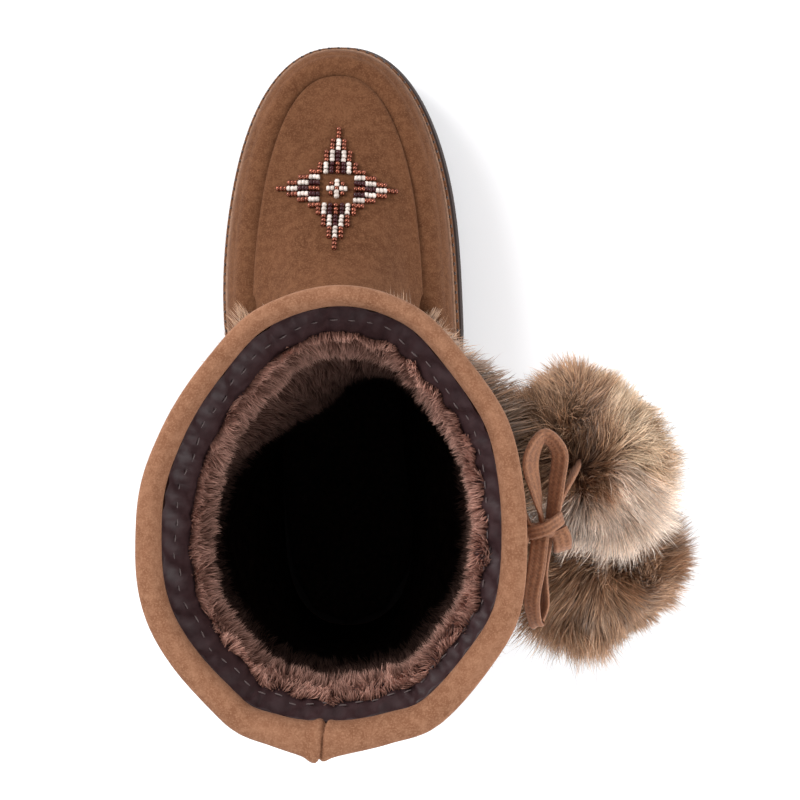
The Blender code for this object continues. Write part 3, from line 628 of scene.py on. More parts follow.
moccasin_suede = suede(
    "moccasin_suede", (0.124, 0.049, 0.0225), (0.196, 0.087, 0.042), (0.088, 0.033, 0.0145)
)
roll_suede = suede(
    "roll_suede", (0.236, 0.105, 0.057), (0.360, 0.185, 0.108), (0.186, 0.079, 0.041), 75.0, 1700.0
)
print("suede materials:", moccasin_suede.name, roll_suede.name)

# %% [markdown]
# ## The hollow upper
# The moccasin wall, the recess under the apron and the fur, and the lining leather are one closed
# wall. The section of the torus runs up the outside, over a soft lip where the wall is folded
# inwards round the apron, steps down into the recess, climbs to the collar and comes back down
# inside. The lip is the main relief of the vamp, so it gets the closest rings.

# %% Upper
UPPER_COLUMNS = 192
# row of the lip, mm outside the form: the fold swells, turns over and drops to the apron's groove
LIP = (
    (2.20, 0.15),
    (2.33, 0.75),
    (2.46, 1.20),
    (2.58, 1.10),
    (2.69, 0.55),
    (2.79, -0.25),
    (2.87, -1.15),
    (2.935, -2.05),
    (2.985, -2.9),
    (3.01, -RECESS),
)


RECESS_ROWS = (3.3, 3.8, 4.5, 5.3, 6.2, 7.0, 7.9, 8.7, 9.5, 10.3, 11.0, 11.7, 12.4)
LEAN_ROW = 12.5


def wall_depth(v):
    """Depth of the wall's inner face: it leans outwards under the cuff's roll."""
    return np.interp(v, (LEAN_ROW, WALL_TOP_ROW), (WALL_INNER, COLLAR_INNER))


def upper_section():
    """Rows and mm outside the form, up the outside of the wall and down its inside."""
    wall = [(v, 0.0) for v in np.linspace(0.0, LIP[0][0], 17)]
    under = [(v, -RECESS) for v in RECESS_ROWS]
    rows = wall + list(LIP) + under + [(13.0, -COLLAR_RECESS), (WALL_TOP_ROW, -COLLAR_RECESS)]
    rows += [(v, -wall_depth(v)) for v in [WALL_TOP_ROW, 13.2, *np.linspace(LEAN_ROW, 0.0, 23)]]
    return rows


u_upper = around(UPPER_COLUMNS)
upper = band("suede_upper", [skin(u_upper, v, d) for v, d in upper_section()], 40.0)
dress(upper, moccasin_suede)
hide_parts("upper")
print("upper:", triangles(upper), "triangles")

# %% [markdown]
# ## The apron
# The apron, or plug, is the flat tongue of suede on top of the vamp. It is cut a little smaller
# than the ring of the lip and sewn into its groove, so its edge rolls down out of sight. It is a
# grid: one way round the toe, the other way up towards the fur, with a few close rows for the roll.

# %% Apron
APRON_COLUMNS = 120
APRON_LEVELS = 34
APRON_THICKNESS = 0.9
# share of the way from the lip to the fur, mm outside the form
APRON_EDGE = ((0.0, -2.9), (0.012, -2.35), (0.028, -2.0), (0.055, -1.8), (0.10, -1.7))
# how far the apron stays clear of the lip, in u and in rows, and of the fur's edge, in rows
APRON_CLEAR = (0.022, 0.035, 0.06)


def plug_border(u):
    """Row where the apron meets the fur; it falls to the lip at the sides."""
    u = np.mod(np.asarray(u, float) + 0.5, 1.0) - 0.5
    low, high = PLUG_ROWS
    t = np.clip(np.abs(u) / PLUG_EDGE_U, 0, 1)
    return low + (high - low) * (1 - t**2.4)


reach = PLUG_EDGE_U - APRON_CLEAR[0]
u_apron = np.linspace(-reach, reach, APRON_COLUMNS)[None, :]
share = np.concatenate([[s for s, _ in APRON_EDGE], np.linspace(0.15, 1.0, APRON_LEVELS)])[:, None]
drop = np.concatenate([[d for _, d in APRON_EDGE], np.full(APRON_LEVELS, -PLUG_TOP)])[:, None]
low_row = PLUG_ROWS[0] + APRON_CLEAR[1]
v_apron = low_row + (plug_border(u_apron) - APRON_CLEAR[2] - low_row) * share
apron = sheet("apron", skin(u_apron, v_apron, drop), APRON_THICKNESS)
dress(apron, moccasin_suede)
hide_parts("vamp_plug")
print("apron:", triangles(apron), "triangles")

# %% [markdown]
# ## Rand, whip stitches and seam cord
# A strip of the same suede, the rand, runs round the foot just above the rubber. Its top edge is
# whipped to the vamp with a thick dark thread about every four millimetres, and the vamp's folded
# edge stands above it as a thin pale ridge. One stitch is a stretched sphere, and it is copied
# round the foot as arrays of vertices, because a hundred separate objects would be slow.

# %% Rand
RAND_COLUMNS = 176
# row, mm outside the form
RAND_SECTION = (
    (0.09, GAP + 1.7),
    (0.16, GAP + 2.1),
    (0.40, GAP + 2.25),
    (0.66, GAP + 2.15),
    (0.84, GAP + 1.85),
    (0.92, GAP + 1.3),
    (0.95, GAP + 0.6),
    (0.95, GAP),
    (0.50, GAP),
    (0.09, GAP),
)
rand = band("rand_strip", [skin(around(RAND_COLUMNS), v, d) for v, d in RAND_SECTION], 60.0)
dress(rand, moccasin_suede)
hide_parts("rand")
print("rand:", triangles(rand), "triangles")


# %% Rows of stitches
LINE_POINTS = 720


def taken_shape():
    """Vertices and faces of the primitive that was just added, which is removed again."""
    ob = bpy.context.object
    verts = np.array([v.co for v in ob.data.vertices])
    faces = [tuple(f.vertices) for f in ob.data.polygons]
    bpy.data.objects.remove(ob, do_unlink=True)
    return verts, faces


def copies(name, shape, places, axes, scales):
    """One mesh of many copies: axes holds three unit vectors for each place, scales its half sizes."""
    verts, faces = shape
    count = len(places)
    local = verts[None, :, :] * scales[:, None, :]
    points = np.einsum("nvk,nkc->nvc", local, axes) + places[:, None, :]
    offsets = np.arange(count) * len(verts)
    every = [tuple(i + base for i in face) for base in offsets for face in faces]
    mesh = bpy.data.meshes.new(name)
    mesh.from_pydata((points.reshape(-1, 3) * MM).tolist(), [], every)
    ob = bpy.data.objects.new(name, mesh)
    bpy.context.scene.collection.objects.link(ob)
    for face in mesh.polygons:
        face.use_smooth = True
    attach(ob, "root")
    return ob


def frames_along(path, up):
    """Unit vectors along the path, across it and out of the surface."""
    ahead = np.roll(path, -1, axis=0) - np.roll(path, 1, axis=0)
    ahead /= np.linalg.norm(ahead, axis=1, keepdims=True)
    up = up / np.linalg.norm(up, axis=1, keepdims=True)
    across = np.cross(up, ahead)
    across /= np.linalg.norm(across, axis=1, keepdims=True)
    return ahead, across, np.cross(ahead, across)


def evenly(v, d, pitch):
    """The u of places a pitch apart round the boot, on the line at row v and d outside the form."""
    points = skin(around(LINE_POINTS), v, d)
    line = np.concatenate([points, points[:1]])
    run = np.concatenate([[0], np.cumsum(np.linalg.norm(np.diff(line, axis=0), axis=1))])
    count = int(round(run[-1] / pitch))
    return np.interp(np.arange(count) * run[-1] / count, run, np.linspace(0, 1, len(line)))


def stitch_row(name, rings, places, axes, half_size, mat):
    """One stitch is a stretched sphere, and it is copied to each place with its three axes."""
    let_go()
    bpy.ops.mesh.primitive_uv_sphere_add(segments=8, ring_count=rings, radius=1.0)
    sizes = np.tile(half_size, (len(places), 1))
    row = copies(name, taken_shape(), places, np.stack(axes, 1), sizes)
    dress(row, mat)
    print(name, len(places), "stitches,", triangles(row), "triangles")


def fine_thread(name, colour, roughness):
    """Thin sewing thread, whose twist is no more than a fine grain."""
    mat, tree, shader = shader_of(name, colour, Roughness=roughness, Sheen_Weight=0.3)
    twist = texture_on(tree, "ShaderNodeTexNoise", Scale=2500.0, Detail=1.0)
    bump_from(tree, twist, shader, 0.5, 0.00015)
    return mat


print("points on a line of stitches:", LINE_POINTS)

# %% Whip stitches and the vamp's folded edge
STITCH_PITCH = 4.2
STITCH_HALF = (1.7, 0.575, 0.45)
THREAD = (0.045, 0.022, 0.017)
# share of a whip stitch that goes across the seam and along it
STITCH_SLANT = (0.94, 0.34)
RIDGE_ROW = 1.06
# rows from the ridge's middle, mm outside the form
RIDGE_SECTION = ((-0.07, 0.1), (-0.05, 0.75), (0.0, 1.0), (0.035, 0.6), (0.05, 0.1), (0.0, -0.4))

thread, tree, shader = shader_of("waxed_thread", THREAD, Roughness=0.55, Sheen_Weight=0.2)
twist = texture_on(tree, "ShaderNodeTexWave", Scale=900.0, Distortion=2.0, bands_direction="DIAGONAL")
bump_from(tree, twist, shader, 0.6, 0.0002)

stitch_u = evenly(0.96, 1.6, STITCH_PITCH)
stitch_at = skin(stitch_u, 0.935, GAP + 1.15)
ahead, across, out = frames_along(stitch_at, outward(stitch_u, np.full_like(stitch_u, 0.9)))
slant = across * STITCH_SLANT[0] + ahead * STITCH_SLANT[1]
slant /= np.linalg.norm(slant, axis=1, keepdims=True)
stitch_row("whip_stitches", 6, stitch_at, (slant, np.cross(out, slant), out), STITCH_HALF, thread)

ridge_loops = [skin(around(RAND_COLUMNS), RIDGE_ROW + v, d) for v, d in RIDGE_SECTION]
ridge_band = band("vamp_edge", ridge_loops, 70.0)
edge_suede = suede("edge_suede", (0.250, 0.140, 0.090), (0.360, 0.220, 0.150), (0.190, 0.100, 0.064))
dress(ridge_band, edge_suede)
print("edge of the vamp:", triangles(ridge_band), "triangles")

# %% [markdown]
# ## The rubber sole
# The sole is a stack of outlines, each a little inside or outside the last, from the tread up to
# the feather line. The torus can't make it, because a sole is closed below, so it starts as a
# cylinder with one ring for each level. Its tread is cut by zigzag bars with an exact Boolean. The
# side has a moulded groove and fine upright flutes at the toe and the heel.

# %% The sole's measures
SOLE_COLUMNS = 240
# y of the flat stretches of the tread, in mm
FLAT_HEEL = (-30.0, 32.0)
FLAT_TREAD = (94.0, 176.0)
ARCH_RISE = 5.0
TOE_SPRING = 10.0
HEEL_BEVEL = 1.5
TREAD_DEPTH = 2.8
TREAD_GROOVE = 3.4
HEEL_GROOVES = (-22.0, -8.0, 8.0, 22.0)
FOREFOOT_GROOVES = (101.0, 115.0, 129.0, 143.0, 157.0, 171.0)
# the tread's zigzag bars: half their length, mm that a tooth points forward or back
HEEL_BAR = (46.0, 2.2)
FOREFOOT_BAR = (62.0, 3.0)
BAR_TEETH = 3
BAR_BELOW = -4.0
# the flutes' depth, y of the middle of the sole, and how far from it they start and are full
FLUTE_DEPTH = 0.35
FLUTE_MIDDLE, FLUTE_START, FLUTE_RISE = 95.0, 62.0, 30.0
# share of the sole's height, mm outside its outline, share of the flutes' depth, from the floor up
SOLE_PROFILE = (
    (0.00, -2.4, 0.0),
    (0.03, -1.4, 0.0),
    (0.08, -0.6, 0.2),
    (0.15, -0.2, 1.0),
    (0.30, 0.0, 1.0),
    (0.45, 0.0, 1.0),
    (0.48, -0.2, 0.3),
    (0.51, -1.0, 0.0),
    (0.60, -1.0, 0.0),
    (0.63, -0.1, 0.0),
    (0.70, 0.05, 0.0),
    (0.85, 0.0, 0.0),
    (0.94, -0.4, 0.0),
    (1.00, -1.2, 0.0),
)


def sole_outline(u, grow):
    """x and y of the sole's outline, grown by some mm."""
    along, across = foot_shares(u)
    x = spline(CENTRE_KNOTS, SOLE_CENTRE_X, along) + (half_widths(along, *SOLE_HALF) + grow) * across
    return x, SOLE_BACK - grow + (SOLE_FRONT - SOLE_BACK + 2 * grow) * along


def tread_z(y):
    """Height of the underside over the floor."""
    arch = np.clip((y - FLAT_HEEL[1]) / (FLAT_TREAD[0] - FLAT_HEEL[1]), 0, 1)
    toe = np.clip((y - FLAT_TREAD[1]) / (SOLE_FRONT - FLAT_TREAD[1]), 0, 1)
    heel = np.clip((FLAT_HEEL[0] - y) / (FLAT_HEEL[0] - SOLE_BACK), 0, 1)
    return ARCH_RISE * np.sin(math.pi * arch) ** 1.2 + TOE_SPRING * toe**1.7 + HEEL_BEVEL * heel


def feather_z(y):
    """Height of the sole's top surface."""
    feather = RING_ROWS[0]
    at = np.clip((y - feather[1]) / (feather[0] - feather[1]), 0, 1)
    return (spline(Z_KNOTS, np.eye(5), at) * feather[6:11]).sum(-1) - GAP


print("height of the arch:", tread_z(np.array(63.0)).round(1), "mm")


# %% Stacked outlines from a cylinder
def close_across(ob, ring):
    """Closes a ring of vertices by strips from side to side, so the end bends only lengthways."""
    bpy.ops.object.mode_set(mode="EDIT")
    work = bmesh.from_edit_mesh(ob.data)
    work.verts.ensure_lookup_table()
    verts = [work.verts[k] for k in ring]
    count = len(verts)
    for k in range(count // 2):
        strip = (verts[k], verts[k + 1], verts[count - k - 1], verts[-k])
        work.faces.new(list(dict.fromkeys(strip)))
    bmesh.update_edit_mesh(ob.data)
    bpy.ops.object.mode_set(mode="OBJECT")


def slab(name, rings, smooth_angle, along=None, strips=False):
    """Pulls a cylinder's rings over stacked outlines, and closes both ends.

    The UV map runs up the stack from 0 to 1, or as along says. Each end is one flat face, or with
    strips it is closed from side to side, because one face of many corners can't bend.
    """
    rings = np.asarray(rings)
    levels, cols = rings.shape[:2]
    let_go()
    bpy.ops.mesh.primitive_cylinder_add(vertices=cols, depth=2.0, end_fill_type="NOTHING")
    ob = bpy.context.object
    bpy.ops.object.mode_set(mode="EDIT")
    for k in range(1, levels - 1):
        bpy.ops.mesh.select_all(action="SELECT")
        bpy.ops.mesh.bisect(plane_co=(0, 0, -1 + 2 * k / (levels - 1)), plane_no=(0, 0, 1))
    bpy.ops.object.mode_set(mode="OBJECT")
    co = np.array([v.co for v in ob.data.vertices])
    column = np.rint(np.arctan2(co[:, 1], co[:, 0]) / (2 * math.pi) * cols).astype(int) % cols
    level = np.rint((co[:, 2] + 1) / 2 * (levels - 1)).astype(int)
    ob.data.vertices.foreach_set("co", (rings[level, column] * MM).ravel())
    paint_uv(ob, column / cols, level / levels if along is None else np.asarray(along)[level])
    for end in (0, levels - 1):
        if strips:
            at_end = np.flatnonzero(level == end)
            close_across(ob, [int(k) for k in at_end[np.argsort(column[at_end])]])
            continue
        bpy.ops.object.mode_set(mode="EDIT")
        bpy.ops.mesh.select_all(action="DESELECT")
        bpy.ops.object.mode_set(mode="OBJECT")
        for vert in ob.data.vertices:
            vert.select = bool(level[vert.index] == end)
        bpy.ops.object.mode_set(mode="EDIT")
        bpy.ops.mesh.select_mode(type="VERT")
        bpy.ops.mesh.edge_face_add()
        bpy.ops.object.mode_set(mode="OBJECT")
    return keep_as_piece(ob, name, smooth_angle)


u_sole = around(SOLE_COLUMNS)
flute = np.where(np.arange(SOLE_COLUMNS) % 2, 1.0, 0.0)
sole_rings = []
for height, grow, fluted in SOLE_PROFILE:
    x, y = sole_outline(u_sole, grow)
    ends = np.clip((np.abs(y - FLUTE_MIDDLE) - FLUTE_START) / FLUTE_RISE, 0, 1)
    x, y = sole_outline(u_sole, grow - FLUTE_DEPTH * flute * fluted * ends)
    low = tread_z(y)
    sole_rings.append(np.stack([x, y, low + (feather_z(y) - low) * height], -1))
outsole = slab("rubber_outsole", sole_rings, 40.0, strips=True)
print("outsole before its tread:", triangles(outsole), "triangles")


# %% Tread
def groove_bar(y, reach_x, bend):
    """A zigzag bar right across the sole, as a subdivided cube whose vertices are moved."""
    steps = 2 * BAR_TEETH
    let_go()
    bpy.ops.mesh.primitive_cube_add(size=1.0)
    bar = bpy.context.object
    bpy.ops.object.mode_set(mode="EDIT")
    for k in range(1, steps):
        bpy.ops.mesh.select_all(action="SELECT")
        bpy.ops.mesh.bisect(plane_co=(-0.5 + k / steps, 0, 0), plane_no=(1, 0, 0))
    bpy.ops.object.mode_set(mode="OBJECT")
    for vert in bar.data.vertices:
        step = round((vert.co.x + 0.5) * steps)
        shift = bend if step % 2 else -bend
        z = TREAD_DEPTH if vert.co.z > 0 else BAR_BELOW
        vert.co = (vert.co.x * 2 * reach_x * MM, (y + shift + vert.co.y * TREAD_GROOVE) * MM, z * MM)
    return bar


bars = [groove_bar(y, *HEEL_BAR) for y in HEEL_GROOVES]
bars += [groove_bar(y, *FOREFOOT_BAR) for y in FOREFOOT_GROOVES]
let_go()
for bar in bars:
    bar.select_set(True)
bpy.context.view_layer.objects.active = bars[0]
bpy.ops.object.join()
cutter = bpy.context.object
let_go()
cut = outsole.modifiers.new("tread", "BOOLEAN")
cut.operation = "DIFFERENCE"
cut.solver = "EXACT"
cut.object = cutter
bpy.context.view_layer.objects.active = outsole
bpy.ops.object.modifier_apply(modifier="tread")
bpy.data.objects.remove(cutter, do_unlink=True)
print("tread bars:", len(bars))

# %% Rubber
RUBBER = (0.034, 0.021, 0.018)
RUBBER_DUST = (0.062, 0.044, 0.038)
rubber, tree, shader = shader_of("moulded_rubber", RUBBER, Roughness=0.6, Specular_IOR_Level=0.35)
skin_grain = texture_on(tree, "ShaderNodeTexNoise", Scale=1400.0, Detail=2.0)
dust = texture_on(tree, "ShaderNodeTexNoise", Scale=60.0, Detail=4.0)
dusty = span(tree, dust, 0.45, 0.75, 0.0, 0.5)
colour_from(tree, shader, blend_node(tree, dusty, (*RUBBER, 1), (*RUBBER_DUST, 1)))
rough = span(tree, dust, 0.3, 0.8, 0.5, 0.75)
tree.links.new(rough.outputs[0], shader.inputs["Roughness"])
bump_from(tree, skin_grain, shader, 0.35, 0.0002)
dress(outsole, rubber)
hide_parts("outsole")
print("outsole:", triangles(outsole), "triangles")

# %% [markdown]
# ## The rolled cuff
# The top of the shaft is finished with a wide strip of lighter suede. It is folded over the edge, so
# from above it reads as a soft ring about ten millimetres wide, with one raised seam at the back
# where its ends meet. The section is a few named points, and a cubic through them makes the roll
# round. A row of machine stitches runs near its lower edge.

# %% The cuff's measures
CUFF_COLUMNS = 288
# row, mm outside the form, up the outside of the cuff
CUFF_OUTSIDE = ((CUFF_ROW, -0.8), (12.29, 0.0), (12.6, 0.3), (13.0, 0.4), (13.45, 0.4), (13.9, 0.4))
# mm outside the collar ring and above it, over the roll and under it
CUFF_ROLL = ((0.0, 1.8), (-1.8, 3.6), (-4.6, 4.3), (-7.4, 3.0), (-9.1, 0.0), (-8.8, -5.2))
CUFF_LIP = ((-5.2, -5.2), (-5.2, -3.9), (-1.3, -3.9))
ROLL_WIDTH = 9.1
ROLL_NARROWING = 0.30
ROLL_ROWS = 42
BACK_SEAM_U = 0.505
BACK_SEAM_RIDGE = 3.3
BACK_SEAM_SPREAD = 0.017
# where the crease of the back seam meets the outside and the inner edge of the roll
CREASE_FROM, CREASE_TO = 0.5075, 0.4985
# u from the crease's line, width in u, mm that the suede sinks or stands up
CREASE = ((0.0, 0.0014, -1.25), (0.0055, 0.0045, 0.75), (-0.004, 0.0035, 0.35))
# u where the crease needs closer columns
CREASE_COLUMNS = (0.478, 0.53, 71)


def seam_ridge(u):
    """The back of the cuff stands out to a soft point."""
    reach = np.sqrt((u - BACK_SEAM_U) ** 2 + 0.002**2) - 0.002
    return BACK_SEAM_RIDGE * np.exp(-reach / BACK_SEAM_SPREAD)


def roll_share(u):
    """Width of the roll as a share of its width at the back; it is narrowest over the instep."""
    return 1.0 - ROLL_NARROWING * (1.0 - smooth(2 * np.minimum(u, 1 - u)))


def soft_waves(u, seed, height):
    """A smooth closed unevenness of about the given height."""
    rng = np.random.default_rng(seed)
    waves = (3, 5, 8, 13)
    total = np.zeros_like(u)
    for k in waves:
        total += np.sin(2 * math.pi * (k * u + rng.random())) / math.sqrt(len(waves))
    return total * height


def back_crease(rows, u):
    """Presses a thin slanted crease into the rows of the roll, with a folded edge beside it."""
    along = np.gradient(rows, axis=0)
    around_it = np.gradient(rows, axis=1)
    out = np.cross(around_it, along)
    out /= np.linalg.norm(out, axis=-1, keepdims=True)
    middle = np.linspace(CREASE_FROM, CREASE_TO, len(rows))[:, None]
    away = u[None, :] - middle
    depth = sum(high * np.exp(-(((away - at) / wide) ** 2)) for at, wide, high in CREASE)
    return rows - out * depth[..., None]


print("width of the roll over the instep:", round(ROLL_WIDTH * roll_share(0.0), 1), "mm")

# %% Cuff
u_cuff = np.unique(np.concatenate([around(CUFF_COLUMNS), np.linspace(*CREASE_COLUMNS)]))
ridge_out = seam_ridge(u_cuff)
soft = soft_waves(u_cuff, 4, 0.22)
outside = [skin(u_cuff, v, d + ridge_out + soft) for v, d in CUFF_OUTSIDE]
roll = [rim(u_cuff, d * roll_share(u_cuff) + ridge_out * (d > -2) + soft, r) for d, r in CUFF_ROLL]
lip = [rim(u_cuff, np.full_like(u_cuff, d), r) for d, r in CUFF_LIP]
inside = [skin(u_cuff, 13.0, -COLLAR_RECESS + 1.5 * GAP), skin(u_cuff, CUFF_ROW, -RECESS + 1.5 * GAP)]
keys = np.array(outside[2:] + roll)
rounded = spline(np.arange(len(keys)), keys, np.linspace(0, len(keys) - 1, ROLL_ROWS))
rounded = back_crease(rounded, u_cuff)
cuff = band("rolled_cuff", np.concatenate([outside[:2], rounded, lip, inside]), 60.0)
dress(cuff, roll_suede)
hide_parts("cuff")
print("cuff:", triangles(cuff), "triangles")

# %% Hem stitches
HEM_ROW = 12.4
HEM_PITCH = 3.2
HEM_STITCH_HALF = (1.15, 0.34, 0.26)

tan_thread = fine_thread("tan_thread", (0.19, 0.095, 0.055), 0.6)
hem_u = evenly(12.42, 0.6, HEM_PITCH)
hem_at = skin(hem_u, HEM_ROW, 0.32 + seam_ridge(hem_u))
hem_axes = frames_along(hem_at, outward(hem_u, np.full_like(hem_u, HEM_ROW)))
stitch_row("cuff_hem_stitches", 4, hem_at, hem_axes, HEM_STITCH_HALF, tan_thread)

# %% [markdown]
# ## The satin facing
# Inside the roll lies a padded satin tape. It is cut straight and eased into an oval, so it gathers:
# soft folds run from the roll to the pile. The folds are real relief, because satin shows every one
# of them as a change of gloss. A running stitch, a little lighter than the tape, holds its middle.

# %% The tape's measures
FACING_COLUMNS = 420
# row, mm inside the inner edge of the roll
FACING_FACE = ((13.90, -0.5), (13.83, 0.5), (13.76, 1.8), (13.66, 3.5), (13.52, 5.3), (13.34, 6.8))
FACING_EDGE = ((13.27, 7.1), (13.22, 6.1))
# row, mm outside the form
FACING_BACK = ((13.22, -6.4), (13.30, -6.1), (13.69, -5.3), (13.86, -5.7))
FACE_ROWS = 20
FOLD_HEIGHT = 1.2


def gathers(u, level):
    """Height of the folds; they lean a little and swap places between the tape's two edges."""
    lean = u + 0.0045 * level
    waves = 0.45 * np.sin(2 * math.pi * 47 * lean + 1.9 * np.sin(2 * math.pi * 5 * u))
    waves += 0.30 * np.sin(2 * math.pi * 71 * (u - 0.003 * level) + 2.3 * np.sin(2 * math.pi * 3 * u + 1.0))
    waves += 0.35 * np.sin(2 * math.pi * 19 * u + 0.8 * level)
    return waves


def face_point(u, level, lift=0.0):
    """A point of the gathered face, where level runs from 0 at the roll to 1 at the pile."""
    at = level * (len(FACING_FACE) - 1)
    row, inset = spline(np.arange(len(FACING_FACE)), FACING_FACE, np.array([at]))[0]
    depth = FOLD_HEIGHT * math.sin(math.pi * (0.12 + 0.82 * level)) ** 0.8
    return skin(u, row, lift - ROLL_WIDTH * roll_share(u) - inset - 0.4 + depth * gathers(u, 4 * level))


print("rows over the tape's face:", FACE_ROWS)

# %% Satin tape
u_facing = around(FACING_COLUMNS)
facing_loops = [face_point(u_facing, k / (FACE_ROWS - 1)) for k in range(FACE_ROWS)]
facing_loops += [skin(u_facing, v, -ROLL_WIDTH * roll_share(u_facing) - inset) for v, inset in FACING_EDGE]
facing_loops += [skin(u_facing, v, np.full(FACING_COLUMNS, d)) for v, d in FACING_BACK]
facing = band("satin_facing", facing_loops, 80.0)

satin, tree, shader = shader_of(
    "plum_satin",
    (0.028, 0.012, 0.013),
    Roughness=0.46,
    Sheen_Weight=0.04,
    Sheen_Roughness=0.35,
    Sheen_Tint=(0.75, 0.52, 0.52, 1.0),
    Specular_IOR_Level=0.26,
)
satin_uv = put(tree, "ShaderNodeUVMap")
satin_scale = put(tree, "ShaderNodeMapping")
satin_scale.inputs["Scale"].default_value = (1500.0, 170.0, 1.0)
tree.links.new(satin_uv.outputs[0], satin_scale.inputs["Vector"])
twill = put(tree, "ShaderNodeTexWave", Scale=1.0, Distortion=0.4, bands_direction="DIAGONAL")
tree.links.new(satin_scale.outputs[0], twill.inputs["Vector"])
slub = texture_on(tree, "ShaderNodeTexNoise", Scale=260.0, Detail=3.0)
cloudy = span(tree, slub, 0.3, 0.75)
tone = blend_node(tree, cloudy, (0.021, 0.0085, 0.0095, 1), (0.037, 0.0175, 0.019, 1))
colour_from(tree, shader, tone)
gloss = span(tree, slub, 0.3, 0.8, 0.42, 0.56)
tree.links.new(gloss.outputs[0], shader.inputs["Roughness"])
bump_from(tree, twill, shader, 0.12, 0.0001)
dress(facing, satin)
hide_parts("collar_facing")
print("facing:", triangles(facing), "triangles")

# %% Running stitch
RUN_LEVEL = 0.55
RUN_ROW = 13.55
RUN_PITCH = 5.2
RUN_STITCH_HALF = (1.35, 0.26, 0.24)

plum_thread = fine_thread("plum_thread", (0.085, 0.055, 0.052), 0.55)
run_u = evenly(RUN_ROW, -14.0, RUN_PITCH)
run_at = face_point(run_u, RUN_LEVEL, -0.26)
run_axes = frames_along(run_at, -outward(run_u, np.full_like(run_u, RUN_ROW)))
stitch_row("facing_running_stitch", 4, run_at, run_axes, RUN_STITCH_HALF, plum_thread)

# %% [markdown]
# ## Fur, made as one mesh of tapered blades
# Fur is thousands of hairs, and each is a blade here: a flat strip in three joints that ends in a
# point. A blade has a root, a direction to lie in, a sag, and a guide that it leans to, because
# real fur falls in locks whose tips come together. Every hair carries its own colours from root to
# tip in an attribute, which is how wild fur gets its bands. The arrays are worked out at once and
# written as one mesh, so thirty thousand hairs take about a second.

# %% The hair maker
JOINTS = np.array((0.0, 0.34, 0.68, 1.0))
BLADE_SHARES = np.array((1.0, 0.82, 0.5))
# a blade has 7 points: two at each of three joints, and its tip; its faces are two quads and a triangle
BLADE_CORNERS = np.array((0, 1, 3, 2, 2, 3, 5, 4, 4, 5, 6))
BLADE_FACE_STARTS = np.array((0, 4, 8))


def unit(v):
    """The vectors at length one."""
    return v / np.maximum(np.linalg.norm(v, axis=-1, keepdims=True), 1e-9)


def blotches(points, seed, size):
    """A smooth value from 0 to 1 that varies through space over about size mm."""
    rng = np.random.default_rng(seed)
    total = np.zeros(len(points))
    for _ in range(6):
        way = unit(rng.normal(size=3)) / size * rng.uniform(2.2, 5.0)
        total += np.sin(points @ way + rng.uniform(0, 2 * math.pi))
    return np.clip(0.5 + total / 6.0, 0, 1)


def hair_coat(name, roots, lay, length, sag, tones, width, seed, locks, gather, face, frizz):
    """Blades from roots along lay, in mm, as one mesh.

    tones is roots by 4 joints by RGB, locks the index of each hair's guide, gather how far a hair
    leans to its guide, face the direction that its flat side turns to, and frizz its unevenness.
    """
    rng = np.random.default_rng(seed)
    count = len(roots)
    lay = unit(lay)
    t = JOINTS[None, :, None]
    path = roots[:, None] + lay[:, None] * length[:, None, None] * t
    path = path + sag[:, None] * length[:, None, None] * t**2
    wobble = rng.normal(size=(count, 1, 3)) * frizz * length[:, None, None]
    path = path + wobble * np.sin(t * math.pi * 0.9) * 0.5 + wobble * t**2 * 0.5
    pull = gather * rng.uniform(0.5, 1.15, size=(count, 1, 1))
    guide = path[locks]
    stretch = (length / length[locks])[:, None, None]
    target = guide[:, :1] + (guide - guide[:, :1]) * np.minimum(stretch, 1.15)
    path = path + (target - path) * np.clip(pull * t**1.4, 0, 0.95)
    side = unit(np.cross(lay, rng.normal(size=(count, 3)) * 0.7 + face))
    half = (width[:, None] * BLADE_SHARES[None] / 2)[..., None] * side[:, None]
    corners = np.empty((count, 7, 3))
    corners[:, 0:6:2] = path[:, :3] - half
    corners[:, 1:6:2] = path[:, :3] + half
    corners[:, 6] = path[:, 3]
    colour = np.ones((count, 7, 4))
    colour[:, 0:6:2, :3] = tones[:, :3]
    colour[:, 1:6:2, :3] = tones[:, :3]
    colour[:, 6, :3] = tones[:, 3]
    base = (np.arange(count) * 7)[:, None]
    loops = (base + BLADE_CORNERS[None]).ravel()
    starts = (np.arange(count) * len(BLADE_CORNERS))[:, None] + BLADE_FACE_STARTS[None]
    mesh = bpy.data.meshes.new(name)
    mesh.vertices.add(count * 7)
    mesh.vertices.foreach_set("co", (corners * MM).ravel())
    mesh.loops.add(count * len(BLADE_CORNERS))
    mesh.loops.foreach_set("vertex_index", loops.astype(np.int32))
    mesh.polygons.add(count * 3)
    mesh.polygons.foreach_set("loop_start", starts.ravel().astype(np.int32))
    mesh.update(calc_edges=True)
    tone_layer = mesh.color_attributes.new("tone", "FLOAT_COLOR", "POINT")
    tone_layer.data.foreach_set("color", colour.ravel().astype(np.float32))
    mesh.validate()
    ob = bpy.data.objects.new(name, mesh)
    bpy.context.scene.collection.objects.link(ob)
    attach(ob, "root")
    return ob


print("joints per hair:", len(JOINTS))


